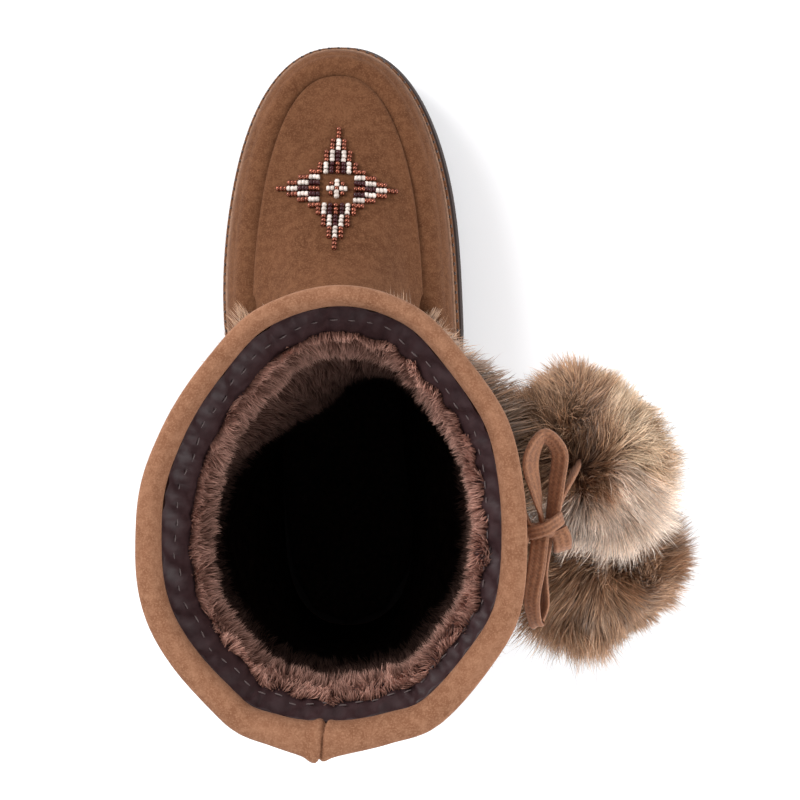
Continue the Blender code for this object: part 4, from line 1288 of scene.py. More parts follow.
# %% Fur materials, palettes and locks
def fur_material(name, roughness, specular):
    """Hair in the colours of its own attribute, a little uneven."""
    mat, tree, shader = shader_of(
        name, (0.16, 0.1, 0.065), Roughness=roughness, Specular_IOR_Level=specular
    )
    tone = put(tree, "ShaderNodeAttribute", attribute_name="tone")
    speck = texture_on(tree, "ShaderNodeTexNoise", Scale=900.0, Detail=1.0)
    vary = span(tree, speck, 0.3, 0.75, 0.8, 1.15)
    colour_from(tree, shader, blend_node(tree, 1.0, (tone, "Color"), vary, mode="MULTIPLY"))
    rough = span(tree, speck, 0.3, 0.75, roughness - 0.08, roughness + 0.12)
    tree.links.new(rough.outputs[0], shader.inputs["Roughness"])
    return mat


def banded(shares, *palettes):
    """Mixes palettes of 4 joint colours by weights of roots by palettes."""
    shares = shares / shares.sum(1, keepdims=True)
    return np.einsum("np,pjc->njc", shares, np.array(palettes, float))


def nearest_guides(points, guides):
    """For each point, the index of its nearest guide point, found in chunks."""
    index = np.empty(len(points), int)
    for first in range(0, len(points), 2000):
        part = points[first : first + 2000]
        distance = ((part[:, None] - points[guides][None]) ** 2).sum(-1)
        index[first : first + 2000] = guides[np.argmin(distance, 1)]
    return index


def swirls(points, seed, size):
    """A smooth field of directions, about half a unit long, that changes over about size mm."""
    return np.stack([blotches(points, seed + k, size) - 0.5 for k in (0, 100, 200)], 1)


def matted(name, colour, scale, tones, height, **settings):
    """Short matted wool: two tones in small clumps, with a deep bump."""
    mat, tree, shader = shader_of(name, colour, Roughness=0.95, **settings)
    clump = texture_on(tree, "ShaderNodeTexNoise", Scale=scale, Detail=4.0, Roughness=0.7)
    low, high = tones
    colour_from(tree, shader, blend_node(tree, span(tree, clump, 0.3, 0.7), (*low, 1), (*high, 1)))
    bump_from(tree, clump, shader, 0.9, height)
    return mat


long_fur = fur_material("long_fur", 0.5, 0.35)
sheared_fur = fur_material("sheared_fur", 0.75, 0.15)
print("fur materials:", long_fur.name, sheared_fur.name)

# %% [markdown]
# ## The pile lining
# The shaft is lined with sheared pile. From above, only its top band is lit, and below that the
# boot is simply dark. So the pile is two things: a lumpy inner shell, which closes the view between
# the hairs, and a dense coat of short hairs over its upper part. Lower down the shell alone is
# enough, and its colour there is a near-black brown, painted as the shade deep in the shaft; the
# hairs too are painted darker lower down and lighter on the roll, as painted shade and painted light.
# At the top the pile is rolled. The roll laps over the satin most on the outer side, and it stands
# furthest in on the inner side and at the front. One deep fold hangs over the inner side of the instep.

# %% Shape of the lining
PILE_TOP_ROW = 13.24
PILE_BASE = 1.9
# place round the shaft and mm of the deep fold of lining over the inner side of the instep
FOLD_PLACE, FOLD_WIDTH, FOLD_DEPTH = 0.935, 0.115, 17.0
LINING_COLUMNS = 240
# place round the shaft, mm that the pile's roll stands further in, level of the satin where it starts
PILE_ROLL = (
    (0.00, 3.8, 0.94),
    (0.08, 3.2, 0.88),
    (0.16, 0.6, 0.74),
    (0.25, -2.4, 0.58),
    (0.37, -1.4, 0.58),
    (0.50, 1.2, 0.66),
    (0.58, 2.2, 0.80),
    (0.66, 3.4, 0.93),
    (0.75, 4.0, 0.96),
    (0.90, 4.0, 0.96),
    (1.00, 3.8, 0.94),
)
ROLL_PLACES, ROLL_IN, ROLL_START = np.array(PILE_ROLL).T
# rows: the roll's crest and how far it spreads; the fold's ends and how softly it comes and goes
ROLL_ROW, ROLL_SPREAD = 12.72, 0.42
FOLD_TOP, FOLD_TOP_RUN, FOLD_FOOT, FOLD_FOOT_RUN = 12.9, 2.2, 5.5, 3.0


def lining_depth(u, v):
    """How far the lining stands inside the wall: a thick rolled top, waves, and one deep fold."""
    u, v = np.broadcast_arrays(np.asarray(u, float), np.asarray(v, float))
    crest = ROLL_WIDTH * roll_share(np.mod(u, 1.0)) + 6.7 - WALL_INNER - PILE_BASE
    rope = crest * smooth((v - 12.1) / 0.9)
    roll_in = np.interp(np.mod(u, 1.0), ROLL_PLACES, ROLL_IN)
    rope += roll_in * np.exp(-(((v - ROLL_ROW) / ROLL_SPREAD) ** 2))
    away = np.mod(u - FOLD_PLACE + 0.5, 1.0) - 0.5
    fold = FOLD_DEPTH * np.exp(-((away / FOLD_WIDTH) ** 2))
    fold = fold * smooth((FOLD_TOP - v) / FOLD_TOP_RUN) * smooth((v - FOLD_FOOT) / FOLD_FOOT_RUN)
    wave = 0.8 * np.sin(2 * math.pi * (7 * u + 0.55 * v) + 1.6 * np.sin(2 * math.pi * 2 * u + v))
    wave += 0.6 * np.sin(2 * math.pi * (11 * u - 0.9 * v) + 1.2 * np.sin(2 * math.pi * 3 * u))
    wave += 0.5 * np.sin(2 * math.pi * (29 * u + 1.1 * v) + 1.7 * np.sin(2 * math.pi * 5 * u))
    return PILE_BASE + rope + fold + 0.6 * wave * smooth((v - 0.2) / 3.0)


print("deepest part of the lining:", lining_depth(FOLD_PLACE, np.linspace(6, 13, 50)).max().round(1), "mm")

# %% Lining shell
FOOT_ROW = 0.3
# rows of the shell's inner face, close together at the roll
LINING_ROWS = np.concatenate(
    [np.linspace(PILE_TOP_ROW, 12.4, 22), np.linspace(12.3, 8.0, 24), np.linspace(7.7, FOOT_ROW, 20)]
)
# painted shade and painted light: the shell's colours low in the shaft, near black, and at its lit top
SHADED_PILE = ((0.006, 0.003, 0.0025, 1), (0.02, 0.011, 0.008, 1))
LIT_PILE = ((0.090, 0.042, 0.031, 1), (0.230, 0.118, 0.090, 1))
# heights in metres between which the shell's colour turns from painted shade to painted light
LIT_FROM, LIT_TO = 0.16, 0.26

u_lining = around(LINING_COLUMNS)
shell_loops = []
for v in LINING_ROWS:
    low = 0.35 + 0.65 * smooth((v - 0.2) / 3.0)
    shell_loops.append(skin(u_lining, v, -wall_depth(v) - lining_depth(u_lining, v) * low))
for v in np.linspace(FOOT_ROW, PILE_TOP_ROW, 14):
    shell_loops.append(skin(u_lining, v, np.full(LINING_COLUMNS, -wall_depth(v) - 0.35)))
lining = band("pile_lining_shell", shell_loops, 80.0)

pile_shell, tree, shader = shader_of(
    "pile_shell", (0.03, 0.016, 0.012), Roughness=0.95, Specular_IOR_Level=0.05
)
pile_where = put(tree, "ShaderNodeTexCoord")
split_z = put(tree, "ShaderNodeSeparateXYZ")
tree.links.new(pile_where.outputs["Object"], split_z.inputs[0])
# painted shade low in the shaft and painted light at its top: the shell's colour turns by height
height = span(tree, split_z, LIT_FROM, LIT_TO, out="Z")
clump_noise = texture_on(tree, "ShaderNodeTexNoise", Scale=230.0, Detail=4.0, Roughness=0.65)
clumps = span(tree, clump_noise, 0.35, 0.7)
shaded_tone = blend_node(tree, clumps, *SHADED_PILE)
lit = blend_node(tree, clumps, *LIT_PILE)
colour_from(tree, shader, blend_node(tree, height, shaded_tone, lit))
bump_from(tree, clump_noise, shader, 0.9, 0.002)
dress(lining, pile_shell)
print("lining shell:", triangles(lining), "triangles")

# %% Where the pile grows
PILE_HAIRS = 27000
OVER_HAIRS = 11000
# rows down from the top that the hairs cover
PILE_ROWS = 3.3
ROPE_ROW = 13.10

rng = np.random.default_rng(21)
pile_u = rng.random(PILE_HAIRS)
pile_v = PILE_TOP_ROW - 0.01 - PILE_ROWS * rng.random(PILE_HAIRS) ** 1.35
inner_roots = skin(pile_u, pile_v, -wall_depth(pile_v) - lining_depth(pile_u, pile_v) + 0.3)
# the roll of pile that laps over the satin
over_u = rng.random(OVER_HAIRS)
lap = np.interp(over_u, ROLL_PLACES, ROLL_START)
keep = rng.random(OVER_HAIRS) < (1.02 - lap) / 0.42 + 0.12
over_u, lap = over_u[keep], lap[keep]
ragged = 0.16 * (blotches(skin(over_u, 13.5, np.full(len(over_u), -12.0)), 19, 6.0) - 0.5)
over_level = 1.0 - (1.0 - np.clip(lap + ragged, 0.3, 0.99)) * rng.random(len(over_u)) ** 0.8
lap_knots = np.linspace(0, 1, 41)
face_knots = np.arange(len(FACING_FACE))
lap_rows = spline(face_knots, FACING_FACE, lap_knots * face_knots[-1])
over_v, over_in = (np.interp(over_level, lap_knots, lap_rows[:, k]) for k in (0, 1))
over_roots = skin(over_u, over_v, -ROLL_WIDTH * roll_share(over_u) - over_in - 0.5)
pile_u, pile_v = np.concatenate([pile_u, over_u]), np.concatenate([pile_v, over_v])
pile_roots = np.concatenate([inner_roots, over_roots])
count = len(pile_u)
pile_normal = outward(pile_u, pile_v)
near_top = smooth((pile_v - ROPE_ROW + 0.14) / 0.24)
print("hairs of the pile:", count, "of which on the satin:", len(over_u))

# %% Pile
PILE_LENGTH = 5.0
PILE_WIDTH = 0.42
PILE_LOCKS = 3600
BROWN = ((0.185, 0.087, 0.064), (0.300, 0.148, 0.111), (0.450, 0.242, 0.187), (0.570, 0.335, 0.266))
DARK = ((0.110, 0.051, 0.038), (0.180, 0.087, 0.065), (0.280, 0.148, 0.113), (0.375, 0.208, 0.161))
# z in mm where the light starts, and how far up it is full; what is left of it below
LIGHT_FROM, LIGHT_RUN, LIGHT_LEFT = 185.0, 72.0, 0.22

droop = np.array((0.0, 0.0, -1.0))
tangent = unit(np.cross(pile_normal, droop[None]))
lean_in = 1.0 - 0.42 * near_top * (0.4 + 1.2 * blotches(pile_roots, 17, 7.0))
pile_lay = -pile_normal * lean_in[:, None] + droop * (0.15 - 0.72 * near_top)[:, None]
pile_lay += 0.8 * tangent * (blotches(pile_roots, 5, 16.0) - 0.5)[:, None]
fine_field = np.stack([blotches(pile_roots, 40 + k, 5.0) - 0.5 for k in range(3)], 1)
pile_lay += 0.70 * fine_field + rng.normal(size=(count, 3)) * 0.16
guides = rng.choice(count, PILE_LOCKS, replace=False)
pile_locks = nearest_guides(pile_roots, guides)
light = np.clip((pile_roots[:, 2] - LIGHT_FROM) / LIGHT_RUN, 0, 1)[:, None, None]
light = LIGHT_LEFT + (1 - LIGHT_LEFT) * light
mix = blotches(pile_roots, 8, 7.0)[:, None]
pile_tones = banded(np.concatenate([0.1 + mix, 1.05 - mix], 1), BROWN, DARK)
pile_tones = pile_tones * light * rng.uniform(0.85, 1.15, size=(count, 1, 1))
# painted light: the hairs of the rolled top are painted lighter, where light falls on them
pile_tones = pile_tones * (1.0 + 0.40 * near_top)[:, None, None]
pile = hair_coat(
    "pile_lining",
    pile_roots,
    pile_lay,
    PILE_LENGTH * rng.uniform(0.75, 1.1, count) * (1.0 - 0.15 * near_top),
    np.tile((0.0, 0.0, -0.10), (count, 1)),
    pile_tones,
    np.full(count, PILE_WIDTH),
    22,
    locks=pile_locks,
    gather=0.45,
    face=droop * -0.9,
    frizz=0.09,
)
dress(pile, sheared_fur)
print("pile:", triangles(pile), "triangles")

# %% Footbed
# painted shade: the footbed's fleece is kept near black, the shade deep inside the shaft painted into it
SHADED_FLEECE = ((0.010, 0.006, 0.005), (0.035, 0.020, 0.015))
insole_fleece = matted("footbed_fleece", (0.02, 0.012, 0.009), 420.0, SHADED_FLEECE, 0.0015)
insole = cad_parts["insole"]
insole.data.materials.clear()
insole.data.materials.append(insole_fleece)
print("the insole keeps its solid, in", insole_fleece.name)

# %% [markdown]
# ## The lace and its bow
# The lace is flat and woven, about six and a half millimetres wide. It runs round the shaft under
# the cuff, comes out on the outer side and is tied in a bow, and each end goes into a fur ball. A
# ribbon is a cylinder whose rings are pulled along a given route, so its weave can follow the
# route in the UV map: one direction counts millimetres along the lace, the other runs round it.

# %% Weave of the lace
LACE_WIDTH = 6.5
LACE_THICK = 1.7
LACE_BROWN = (0.24, 0.106, 0.055)
LACE_TONES = ((0.245, 0.100, 0.048, 1), (0.365, 0.165, 0.082, 1))
LACE_SHADE = (0.110, 0.044, 0.022, 1)
# the weave: ribs round the section, mm from one chevron to the next, how steeply the ribs slant
RIB_TURNS = 8.0
CHEVRON = 1.25
RIB_SLANT = 1.3
# the UV map runs one unit in this many mm along the lace
UV_LENGTH = 100.0
# share of the width and of the thickness, round the lace's section
LACE_SECTION = (
    (-0.50, 0.00),
    (-0.46, -0.34),
    (-0.34, -0.50),
    (-0.17, -0.44),
    (0.00, -0.50),
    (0.17, -0.44),
    (0.34, -0.50),
    (0.46, -0.34),
    (0.50, 0.00),
    (0.46, 0.34),
    (0.34, 0.50),
    (0.17, 0.44),
    (0.00, 0.50),
    (-0.17, 0.44),
    (-0.34, 0.50),
    (-0.46, 0.34),
)

lace, tree, shader = shader_of("woven_lace", LACE_BROWN, Roughness=0.75, Sheen_Weight=0.08)
lace_uv = put(tree, "ShaderNodeUVMap")
lace_split = put(tree, "ShaderNodeSeparateXYZ")
tree.links.new(lace_uv.outputs[0], lace_split.inputs[0])


def maths(operation, source, value=None, out=0):
    """One step of arithmetic on an output of the lace's tree."""
    node = put(tree, "ShaderNodeMath", operation=operation)
    tree.links.new(source.outputs[out], node.inputs[0])
    if value is not None:
        node.inputs[1].default_value = value
    return node


def times_plus(source, factor, added):
    node = maths("MULTIPLY_ADD", source, factor)
    tree.links.new(added.outputs[0], node.inputs[2])
    return node


# Chevron ribs: the distance from the middle of each face is added to the distance along the lace
ribs_across = maths("MULTIPLY", lace_split, RIB_TURNS, "X")
rib_fold = maths("ABSOLUTE", maths("SUBTRACT", maths("FRACT", ribs_across), 0.5))
steps = maths("MULTIPLY", lace_split, UV_LENGTH / CHEVRON, "Y")
weave = maths("SINE", maths("MULTIPLY", times_plus(rib_fold, RIB_SLANT, steps), 2 * math.pi))
wales = maths("COSINE", maths("MULTIPLY", ribs_across, 2 * math.pi))
relief = times_plus(weave, 0.6, wales)
shadow = span(tree, relief, -1.4, 0.6, 0.42, 0.0)
fuzz = texture_on(tree, "ShaderNodeTexNoise", Scale=700.0, Detail=3.0)
worn = blend_node(tree, span(tree, fuzz, 0.35, 0.7), *LACE_TONES)
colour_from(tree, shader, blend_node(tree, shadow, worn, LACE_SHADE))
dull = span(tree, fuzz, 0.3, 0.8, 0.68, 0.88)
tree.links.new(dull.outputs[0], shader.inputs["Roughness"])
bump_from(tree, relief, shader, 0.35, 0.0002)
print("lace section points:", len(LACE_SECTION))


# %% Ribbon maker
def path_points(points, count):
    """A smooth line of count points through a few."""
    points = np.asarray(points, float)
    return spline(np.arange(len(points)), points, np.linspace(0, len(points) - 1, count))


def ribbon(name, points, across, count, width=LACE_WIDTH, thick=LACE_THICK):
    """A flat lace along a route; across holds one width direction for each point of the route."""
    path = path_points(points, count)
    wide = path_points(across, count)
    ahead = unit(np.gradient(path, axis=0))
    wide -= (wide * ahead).sum(1, keepdims=True) * ahead
    wide = unit(wide)
    out = np.cross(ahead, wide)
    rings = [path + wide * width * a + out * thick * b for a, b in LACE_SECTION]
    run = np.concatenate([[0], np.cumsum(np.linalg.norm(np.diff(path, axis=0), axis=1))])
    ob = slab(name, np.stack(rings, 1), 70.0, along=run / UV_LENGTH)
    dress(ob, lace)
    return ob, path, run[-1]


# %% Band and leads
KNOT = (71.8, 28.5, 236.0)
LEAD_SPREAD = 13.0

kx, ky, kz = KNOT
low_row, high_row = LACE_ROWS
band_inner = -RECESS + 1.5 * GAP
band_face = [(v, band_inner + LACE_THICK) for v in np.linspace(low_row, high_row, 5)]
band_face[0] = (low_row, band_inner + 1.1)
band_face[-1] = (high_row, band_inner + 1.1)
band_back = [(high_row, band_inner), (low_row, band_inner)]
lace_band = band("lace_round_shaft", [skin(around(160), v, d) for v, d in band_face + band_back], 60.0)
dress(lace_band, lace)
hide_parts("lace_band")

for name, side in (("front", 1.0), ("back", -1.0)):
    middle = sum(LACE_ROWS) / 2
    steps_u = np.linspace(0, 0.5, 101)
    u_lead = np.interp(-(ky + side * LEAD_SPREAD), -form(steps_u, middle)[:, 1], steps_u)
    start = skin(u_lead, middle, 0.1)
    lead_route = (
        (start[0], start[1], start[2] - 0.2),
        (start[0] + 4.0, ky + side * 8.5, start[2] + 0.4),
        (kx - 5.6, ky + side * 1.6, kz - 0.8),
        (kx - 3.4, ky + side * 0.8, kz - 0.6),
    )
    lead_tilt = ((0.0, 0.0, 1.0), (0.1, 0.0, 1.0), (0.1, 0.0, 1.0), (0.1, 0.0, 1.0))
    lead, _, _ = ribbon("lace_lead_" + name + "_woven", lead_route, lead_tilt, 22)
    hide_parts("lace_lead_" + name)
print("band:", triangles(lace_band), "triangles")

# %% Routes of the bow
# Each route starts or ends inside the knot; the second row of numbers is the width's direction
FRONT_LOOP = (
    ((kx - 1.0, ky + 0.8, kz - 0.2), (0.0, 0.0, 1.0)),
    ((kx - 1.4, ky + 4.0, kz + 0.3), (0.0, 0.0, 1.0)),
    ((kx - 3.2, ky + 12.0, kz + 2.2), (-0.5, 0.0, 0.8)),
    ((kx - 5.2, ky + 23.0, kz + 4.2), (-0.8, 0.2, 0.5)),
    ((kx - 1.0, ky + 31.4, kz + 4.0), (0.0, 0.7, 0.7)),
    ((kx + 4.6, ky + 26.0, kz + 1.8), (0.75, 0.3, 0.6)),
    ((kx + 4.0, ky + 16.0, kz - 0.2), (0.75, 0.0, 0.6)),
    ((kx + 2.6, ky + 4.2, kz - 1.0), (0.6, 0.0, 0.75)),
    ((kx + 1.6, ky + 1.0, kz - 1.0), (0.6, 0.0, 0.75)),
)
BACK_LOOP = (
    ((kx - 1.4, ky - 1.0, kz + 0.4), (0.9, 0.0, 0.4)),
    ((kx - 1.9, ky - 3.9, kz + 0.9), (0.9, 0.0, 0.4)),
    ((kx - 3.0, ky - 13.0, kz + 1.0), (0.9, 0.0, 0.4)),
    ((kx - 4.5, ky - 25.0, kz - 2.0), (0.8, 0.0, 0.6)),
    ((kx - 2.4, ky - 33.4, kz - 6.5), (0.3, 0.3, 0.9)),
    ((kx + 0.4, ky - 27.0, kz - 8.8), (0.3, 0.0, 0.9)),
    ((kx - 0.2, ky - 15.0, kz - 7.0), (0.3, 0.0, 0.9)),
    ((kx + 0.6, ky - 4.0, kz - 3.4), (0.5, 0.0, 0.8)),
    ((kx + 0.8, ky - 1.2, kz - 2.2), (0.5, 0.0, 0.8)),
)
UPPER_END = (
    ((kx + 2.6, ky + 0.6, kz - 3.0), (0.0, 0.0, 1.0)),
    ((kx + 3.9, ky + 2.6, kz - 4.4), (0.0, 0.0, 1.0)),
    ((kx + 5.8, ky + 9.5, kz - 4.6), (0.0, 0.1, 1.0)),
    ((kx + 8.8, ky + 15.2, kz - 6.4), (0.2, 0.3, 0.95)),
    ((kx + 11.0, ky + 18.4, kz - 12.0), (0.5, 0.75, 0.45)),
    ((kx + 11.9, ky + 19.8, kz - 20.2), (0.55, 0.8, 0.1)),
    ((kx + 13.4, ky + 21.0, kz - 32.0), (0.55, 0.8, 0.0)),
)
LOWER_END = (
    ((kx + 4.2, ky - 0.4, kz + 1.2), (0.95, 0.3, 0.0)),
    ((kx + 5.6, ky - 3.2, kz + 0.4), (0.95, 0.3, 0.0)),
    ((kx + 6.1, ky - 6.2, kz - 1.2), (0.95, 0.3, 0.0)),
    ((kx + 6.4, ky - 7.6, kz - 6.5), (0.95, 0.3, 0.0)),
    ((kx + 6.9, ky - 8.0, kz - 20.0), (0.95, 0.3, 0.0)),
    ((kx + 8.8, ky - 9.0, kz - 38.0), (0.95, 0.3, 0.0)),
    ((kx + 13.1, ky - 11.2, kz - 67.2), (0.95, 0.3, 0.0)),
    ((kx + 15.6, ky - 12.6, kz - 76.0), (0.95, 0.3, 0.0)),
)


def free_lace(name, route, count):
    points, across = zip(*route)
    return ribbon(name, points, across, count)


print("points of loops and ends:", [len(r) for r in (FRONT_LOOP, BACK_LOOP, UPPER_END, LOWER_END)])

# %% Loops and ends
front_loop, front_path, front_run = free_lace("bow_loop_front_woven", FRONT_LOOP, 84)
back_loop, back_path, back_run = free_lace("bow_loop_back_woven", BACK_LOOP, 84)
upper_end, upper_path, upper_run = free_lace("lace_end_upper_woven", UPPER_END, 56)
lower_end, lower_path, lower_run = free_lace("lace_end_lower_woven", LOWER_END, 90)
for piece, node in (
    (front_loop, "bow_loop_front"),
    (back_loop, "bow_loop_back"),
    (upper_end, "lace_end_upper"),
    (lower_end, "lace_end_lower"),
):
    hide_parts(node)
runs = [round(float(run), 1) for run in (front_run, back_run, upper_run, lower_run)]
print("mm of lace in the loops and ends:", runs)

# %% Knot
# The knot is the lace turned once round the crossing: a hidden core and one wrap over it
KNOT_RADII = (4.8, 3.4, 4.6)
# half of the wrap's turn, how far it stands out behind the knot and outside it, its lean and size
WRAP_TURN = 0.62 * math.pi
WRAP_OUT = (5.9, 5.6)
WRAP_LEAN = 0.30
WRAP_WIDTH, WRAP_THICK = 4.6, 1.2

let_go()
bpy.ops.mesh.primitive_uv_sphere_add(segments=32, ring_count=20, radius=1.0)
core = bpy.context.object
wide, long, high = KNOT_RADII
for vert in core.data.vertices:
    x, y, z = vert.co
    pinch = 0.9 * (1.0 - 0.16 * math.cos(3 * math.atan2(y, x)))
    crease = 0.86 * (1.0 - 0.06 * math.cos(9 * math.atan2(z, x)))
    vert.co = ((kx + x * wide * pinch) * MM, (ky + y * long * pinch) * MM, (kz + z * high * crease) * MM)
core = keep_as_piece(core, "knot_core", 80.0)
dress(core, lace)
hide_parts("bow_knot")

# One turn of lace over the top of the knot, from behind it to its outer side, where it spreads
turn = np.linspace(-WRAP_TURN, WRAP_TURN, 40)
wrap_x = np.where(turn < 0, *WRAP_OUT) * np.sin(turn)
wrap_y = WRAP_LEAN * wrap_x + 0.35 * (turn > 0) * wrap_x
wrap_route = np.stack([kx + wrap_x, ky + wrap_y, kz + 1.12 * high * np.cos(turn)], 1)
wrap_across = np.tile((-WRAP_LEAN, 1.0, 0.0), (len(turn), 1))
wrap, _, wrap_run = ribbon("knot_wrap", wrap_route, wrap_across, 40, WRAP_WIDTH, WRAP_THICK)
print("wrap of the knot:", round(float(wrap_run), 1), "mm of lace,", triangles(wrap), "triangles")

# %% [markdown]
# ## Fur balls
# Each ball is a core with hairs all over it. The hairs don't stand straight out: they part at the
# top and are combed down over the sides, so a ball has a parting, a lit crown and long soft edges.
# Wild fur is banded, slate at the root, gold or cream in the middle and dark or pale at the tip, so
# every hair mixes a few such palettes by where it grows: soft spots on the ball say where it is
# cream, slate, rust or dark, and whole locks are lighter or darker than their neighbours.

# %% Fur palettes
# colours from the root of a hair to its tip
OLIVE = ((0.130, 0.075, 0.049), (0.345, 0.190, 0.104), (0.590, 0.345, 0.190), (0.750, 0.475, 0.290))
UMBER = ((0.085, 0.045, 0.029), (0.215, 0.110, 0.061), (0.385, 0.200, 0.114), (0.540, 0.300, 0.180))
SABLE = ((0.060, 0.042, 0.032), (0.130, 0.082, 0.054), (0.130, 0.080, 0.052), (0.055, 0.034, 0.024))
CREAM = ((0.560, 0.420, 0.335), (0.830, 0.650, 0.530), (0.970, 0.805, 0.680), (1.000, 0.890, 0.790))
SLATE = ((0.100, 0.090, 0.088), (0.180, 0.158, 0.148), (0.260, 0.225, 0.205), (0.400, 0.345, 0.310))
RUST = ((0.110, 0.056, 0.034), (0.300, 0.150, 0.078), (0.500, 0.265, 0.135), (0.640, 0.380, 0.215))
SAND = ((0.280, 0.195, 0.130), (0.590, 0.425, 0.280), (0.850, 0.640, 0.440), (0.930, 0.740, 0.550))
PALETTES = (OLIVE, UMBER, SABLE, CREAM, SLATE, RUST, SAND)
print("palettes:", len(PALETTES))

# %% The balls' measures
BALL_HAIRS = 33000
BALL_LOCKS = 2900
# share of long dark hairs, and how much longer they are
GUARD_SHARE, GUARD_LENGTH = 0.06, 1.26
# width in mm of a usual hair and of a long dark one
BALL_HAIR_WIDTH, GUARD_WIDTH = 0.36, 0.22
# centre, radii, lean of x with y, parting, hair length, lace end
BALLS = {
    "upper": ((92.5, 51.5, 190.0), (23.5, 29.5, 25.5), -0.22, (-0.12, 0.10, 0.98), 15.4, upper_end),
    "lower": ((99.5, 7.5, 151.0), (25.5, 25.5, 24.0), 0.15, (-0.10, 0.22, 0.97), 15.5, lower_end),
}
# x and y of a direction on the ball, width of the patch, share by which its hairs are longer
REACH = {
    "upper": (
        (0.62, 0.62, 0.5, -0.26),
        (0.20, 0.95, 0.35, -0.30),
        (0.95, 0.05, 0.4, -0.10),
        (-0.5, 0.75, 0.3, 0.05),
    ),
    "lower": (
        (0.55, -0.78, 0.50, -0.50),
        (-0.72, -0.62, 0.42, 0.55),
        (0.85, 0.5, 0.4, 0.12),
    ),
}


def sphere_spread(count, seed):
    """Directions spread evenly over a sphere by the golden angle, a little shaken."""
    rng = np.random.default_rng(seed)
    k = np.arange(count) + 0.5
    z = 1 - 2 * k / count
    a = k * math.pi * (3 - math.sqrt(5))
    flat = np.sqrt(1 - z * z)
    points = np.stack([flat * np.cos(a), flat * np.sin(a), z], 1)
    return unit(points + rng.normal(size=points.shape) * 0.012)


print("hairs on each ball:", BALL_HAIRS)


# %% Colours over a ball
def spot(n, x, y, wide_x, wide_y, turn=0.0):
    """A soft spot on the side of a ball that faces up."""
    c, s = math.cos(turn), math.sin(turn)
    dx, dy = n[:, 0] - x, n[:, 1] - y
    across, along = c * dx - s * dy, s * dx + c * dy
    return np.exp(-((across / wide_x) ** 2 + (along / wide_y) ** 2)) * (n[:, 2] > -0.2)


def upper_weights(n, mottle, fine):
    """Sandy on the outer half, cream towards the heel, brown at the instep, with a slate streak."""
    cream = smooth((-n[:, 1] - 0.16 + 0.10 * n[:, 0] + 0.3 * (mottle - 0.5)) / 0.22)
    cream = cream * smooth((n[:, 0] + 0.86) / 0.3)
    sandy = (1 - cream) * smooth((n[:, 0] + 0.04 + 0.3 * (fine - 0.5)) / 0.35)
    brown = (1 - cream) * (1 - sandy)
    slate = spot(n, -0.12, 0.26, 0.12, 0.40, 0.30) + 0.8 * spot(n, -0.42, -0.62, 0.20, 0.16)
    dark = spot(n, -0.34, -0.10, 0.22, 0.16) + spot(n, -0.75, 0.2, 0.3, 0.5)
    return {
        "olive": brown * (0.65 + 0.5 * mottle) + 0.3 * sandy,
        "umber": brown * (0.55 + 0.5 * fine),
        "sable": 0.10 + 0.5 * brown * (1 - fine) + 1.4 * dark,
        "cream": 4.0 * cream,
        "slate": 2.6 * slate + 0.08,
        "rust": brown * (0.45 + 1.6 * (1 - mottle)),
        "sand": 1.9 * sandy + 0.3 * cream + 0.10,
    }


def lower_weights(n, mottle, fine):
    """Brown all over, with rust and dark spots and a few pale ones."""
    dark = spot(n, 0.44, -0.30, 0.15, 0.20) + spot(n, -0.20, -0.42, 0.17, 0.13)
    dark = dark + 0.7 * spot(n, 0.75, 0.55, 0.25, 0.3)
    rust = spot(n, 0.72, 0.42, 0.35, 0.42) + spot(n, 0.10, -0.45, 0.14, 0.3)
    pale = spot(n, -0.05, 0.0, 0.16, 0.3) + spot(n, -0.6, -0.75, 0.3, 0.22)
    pale = pale + 0.5 * spot(n, 0.1, -0.9, 0.8, 0.2)
    return {
        "olive": 0.40 + 0.5 * fine,
        "umber": 0.75 + 0.5 * mottle,
        "sable": 0.30 + 2.2 * dark + 0.5 * (1 - mottle) * fine,
        "cream": 0.4 * pale,
        "slate": 0.12 + 2.4 * dark,
        "rust": 0.55 + 0.8 * (1 - fine) + 1.8 * rust,
        "sand": 0.12 + 0.9 * pale,
    }


def ball_weights(name, n, roots):
    """Weights of the seven palettes, in their order, for each root."""
    weights = {"upper": upper_weights, "lower": lower_weights}[name]
    shares = weights(n, blotches(roots, 31, 11.0), blotches(roots, 37, 4.5))
    return np.stack(list(shares.values()), 1).clip(1e-4)


print("weights for", len(PALETTES), "palettes on each ball")


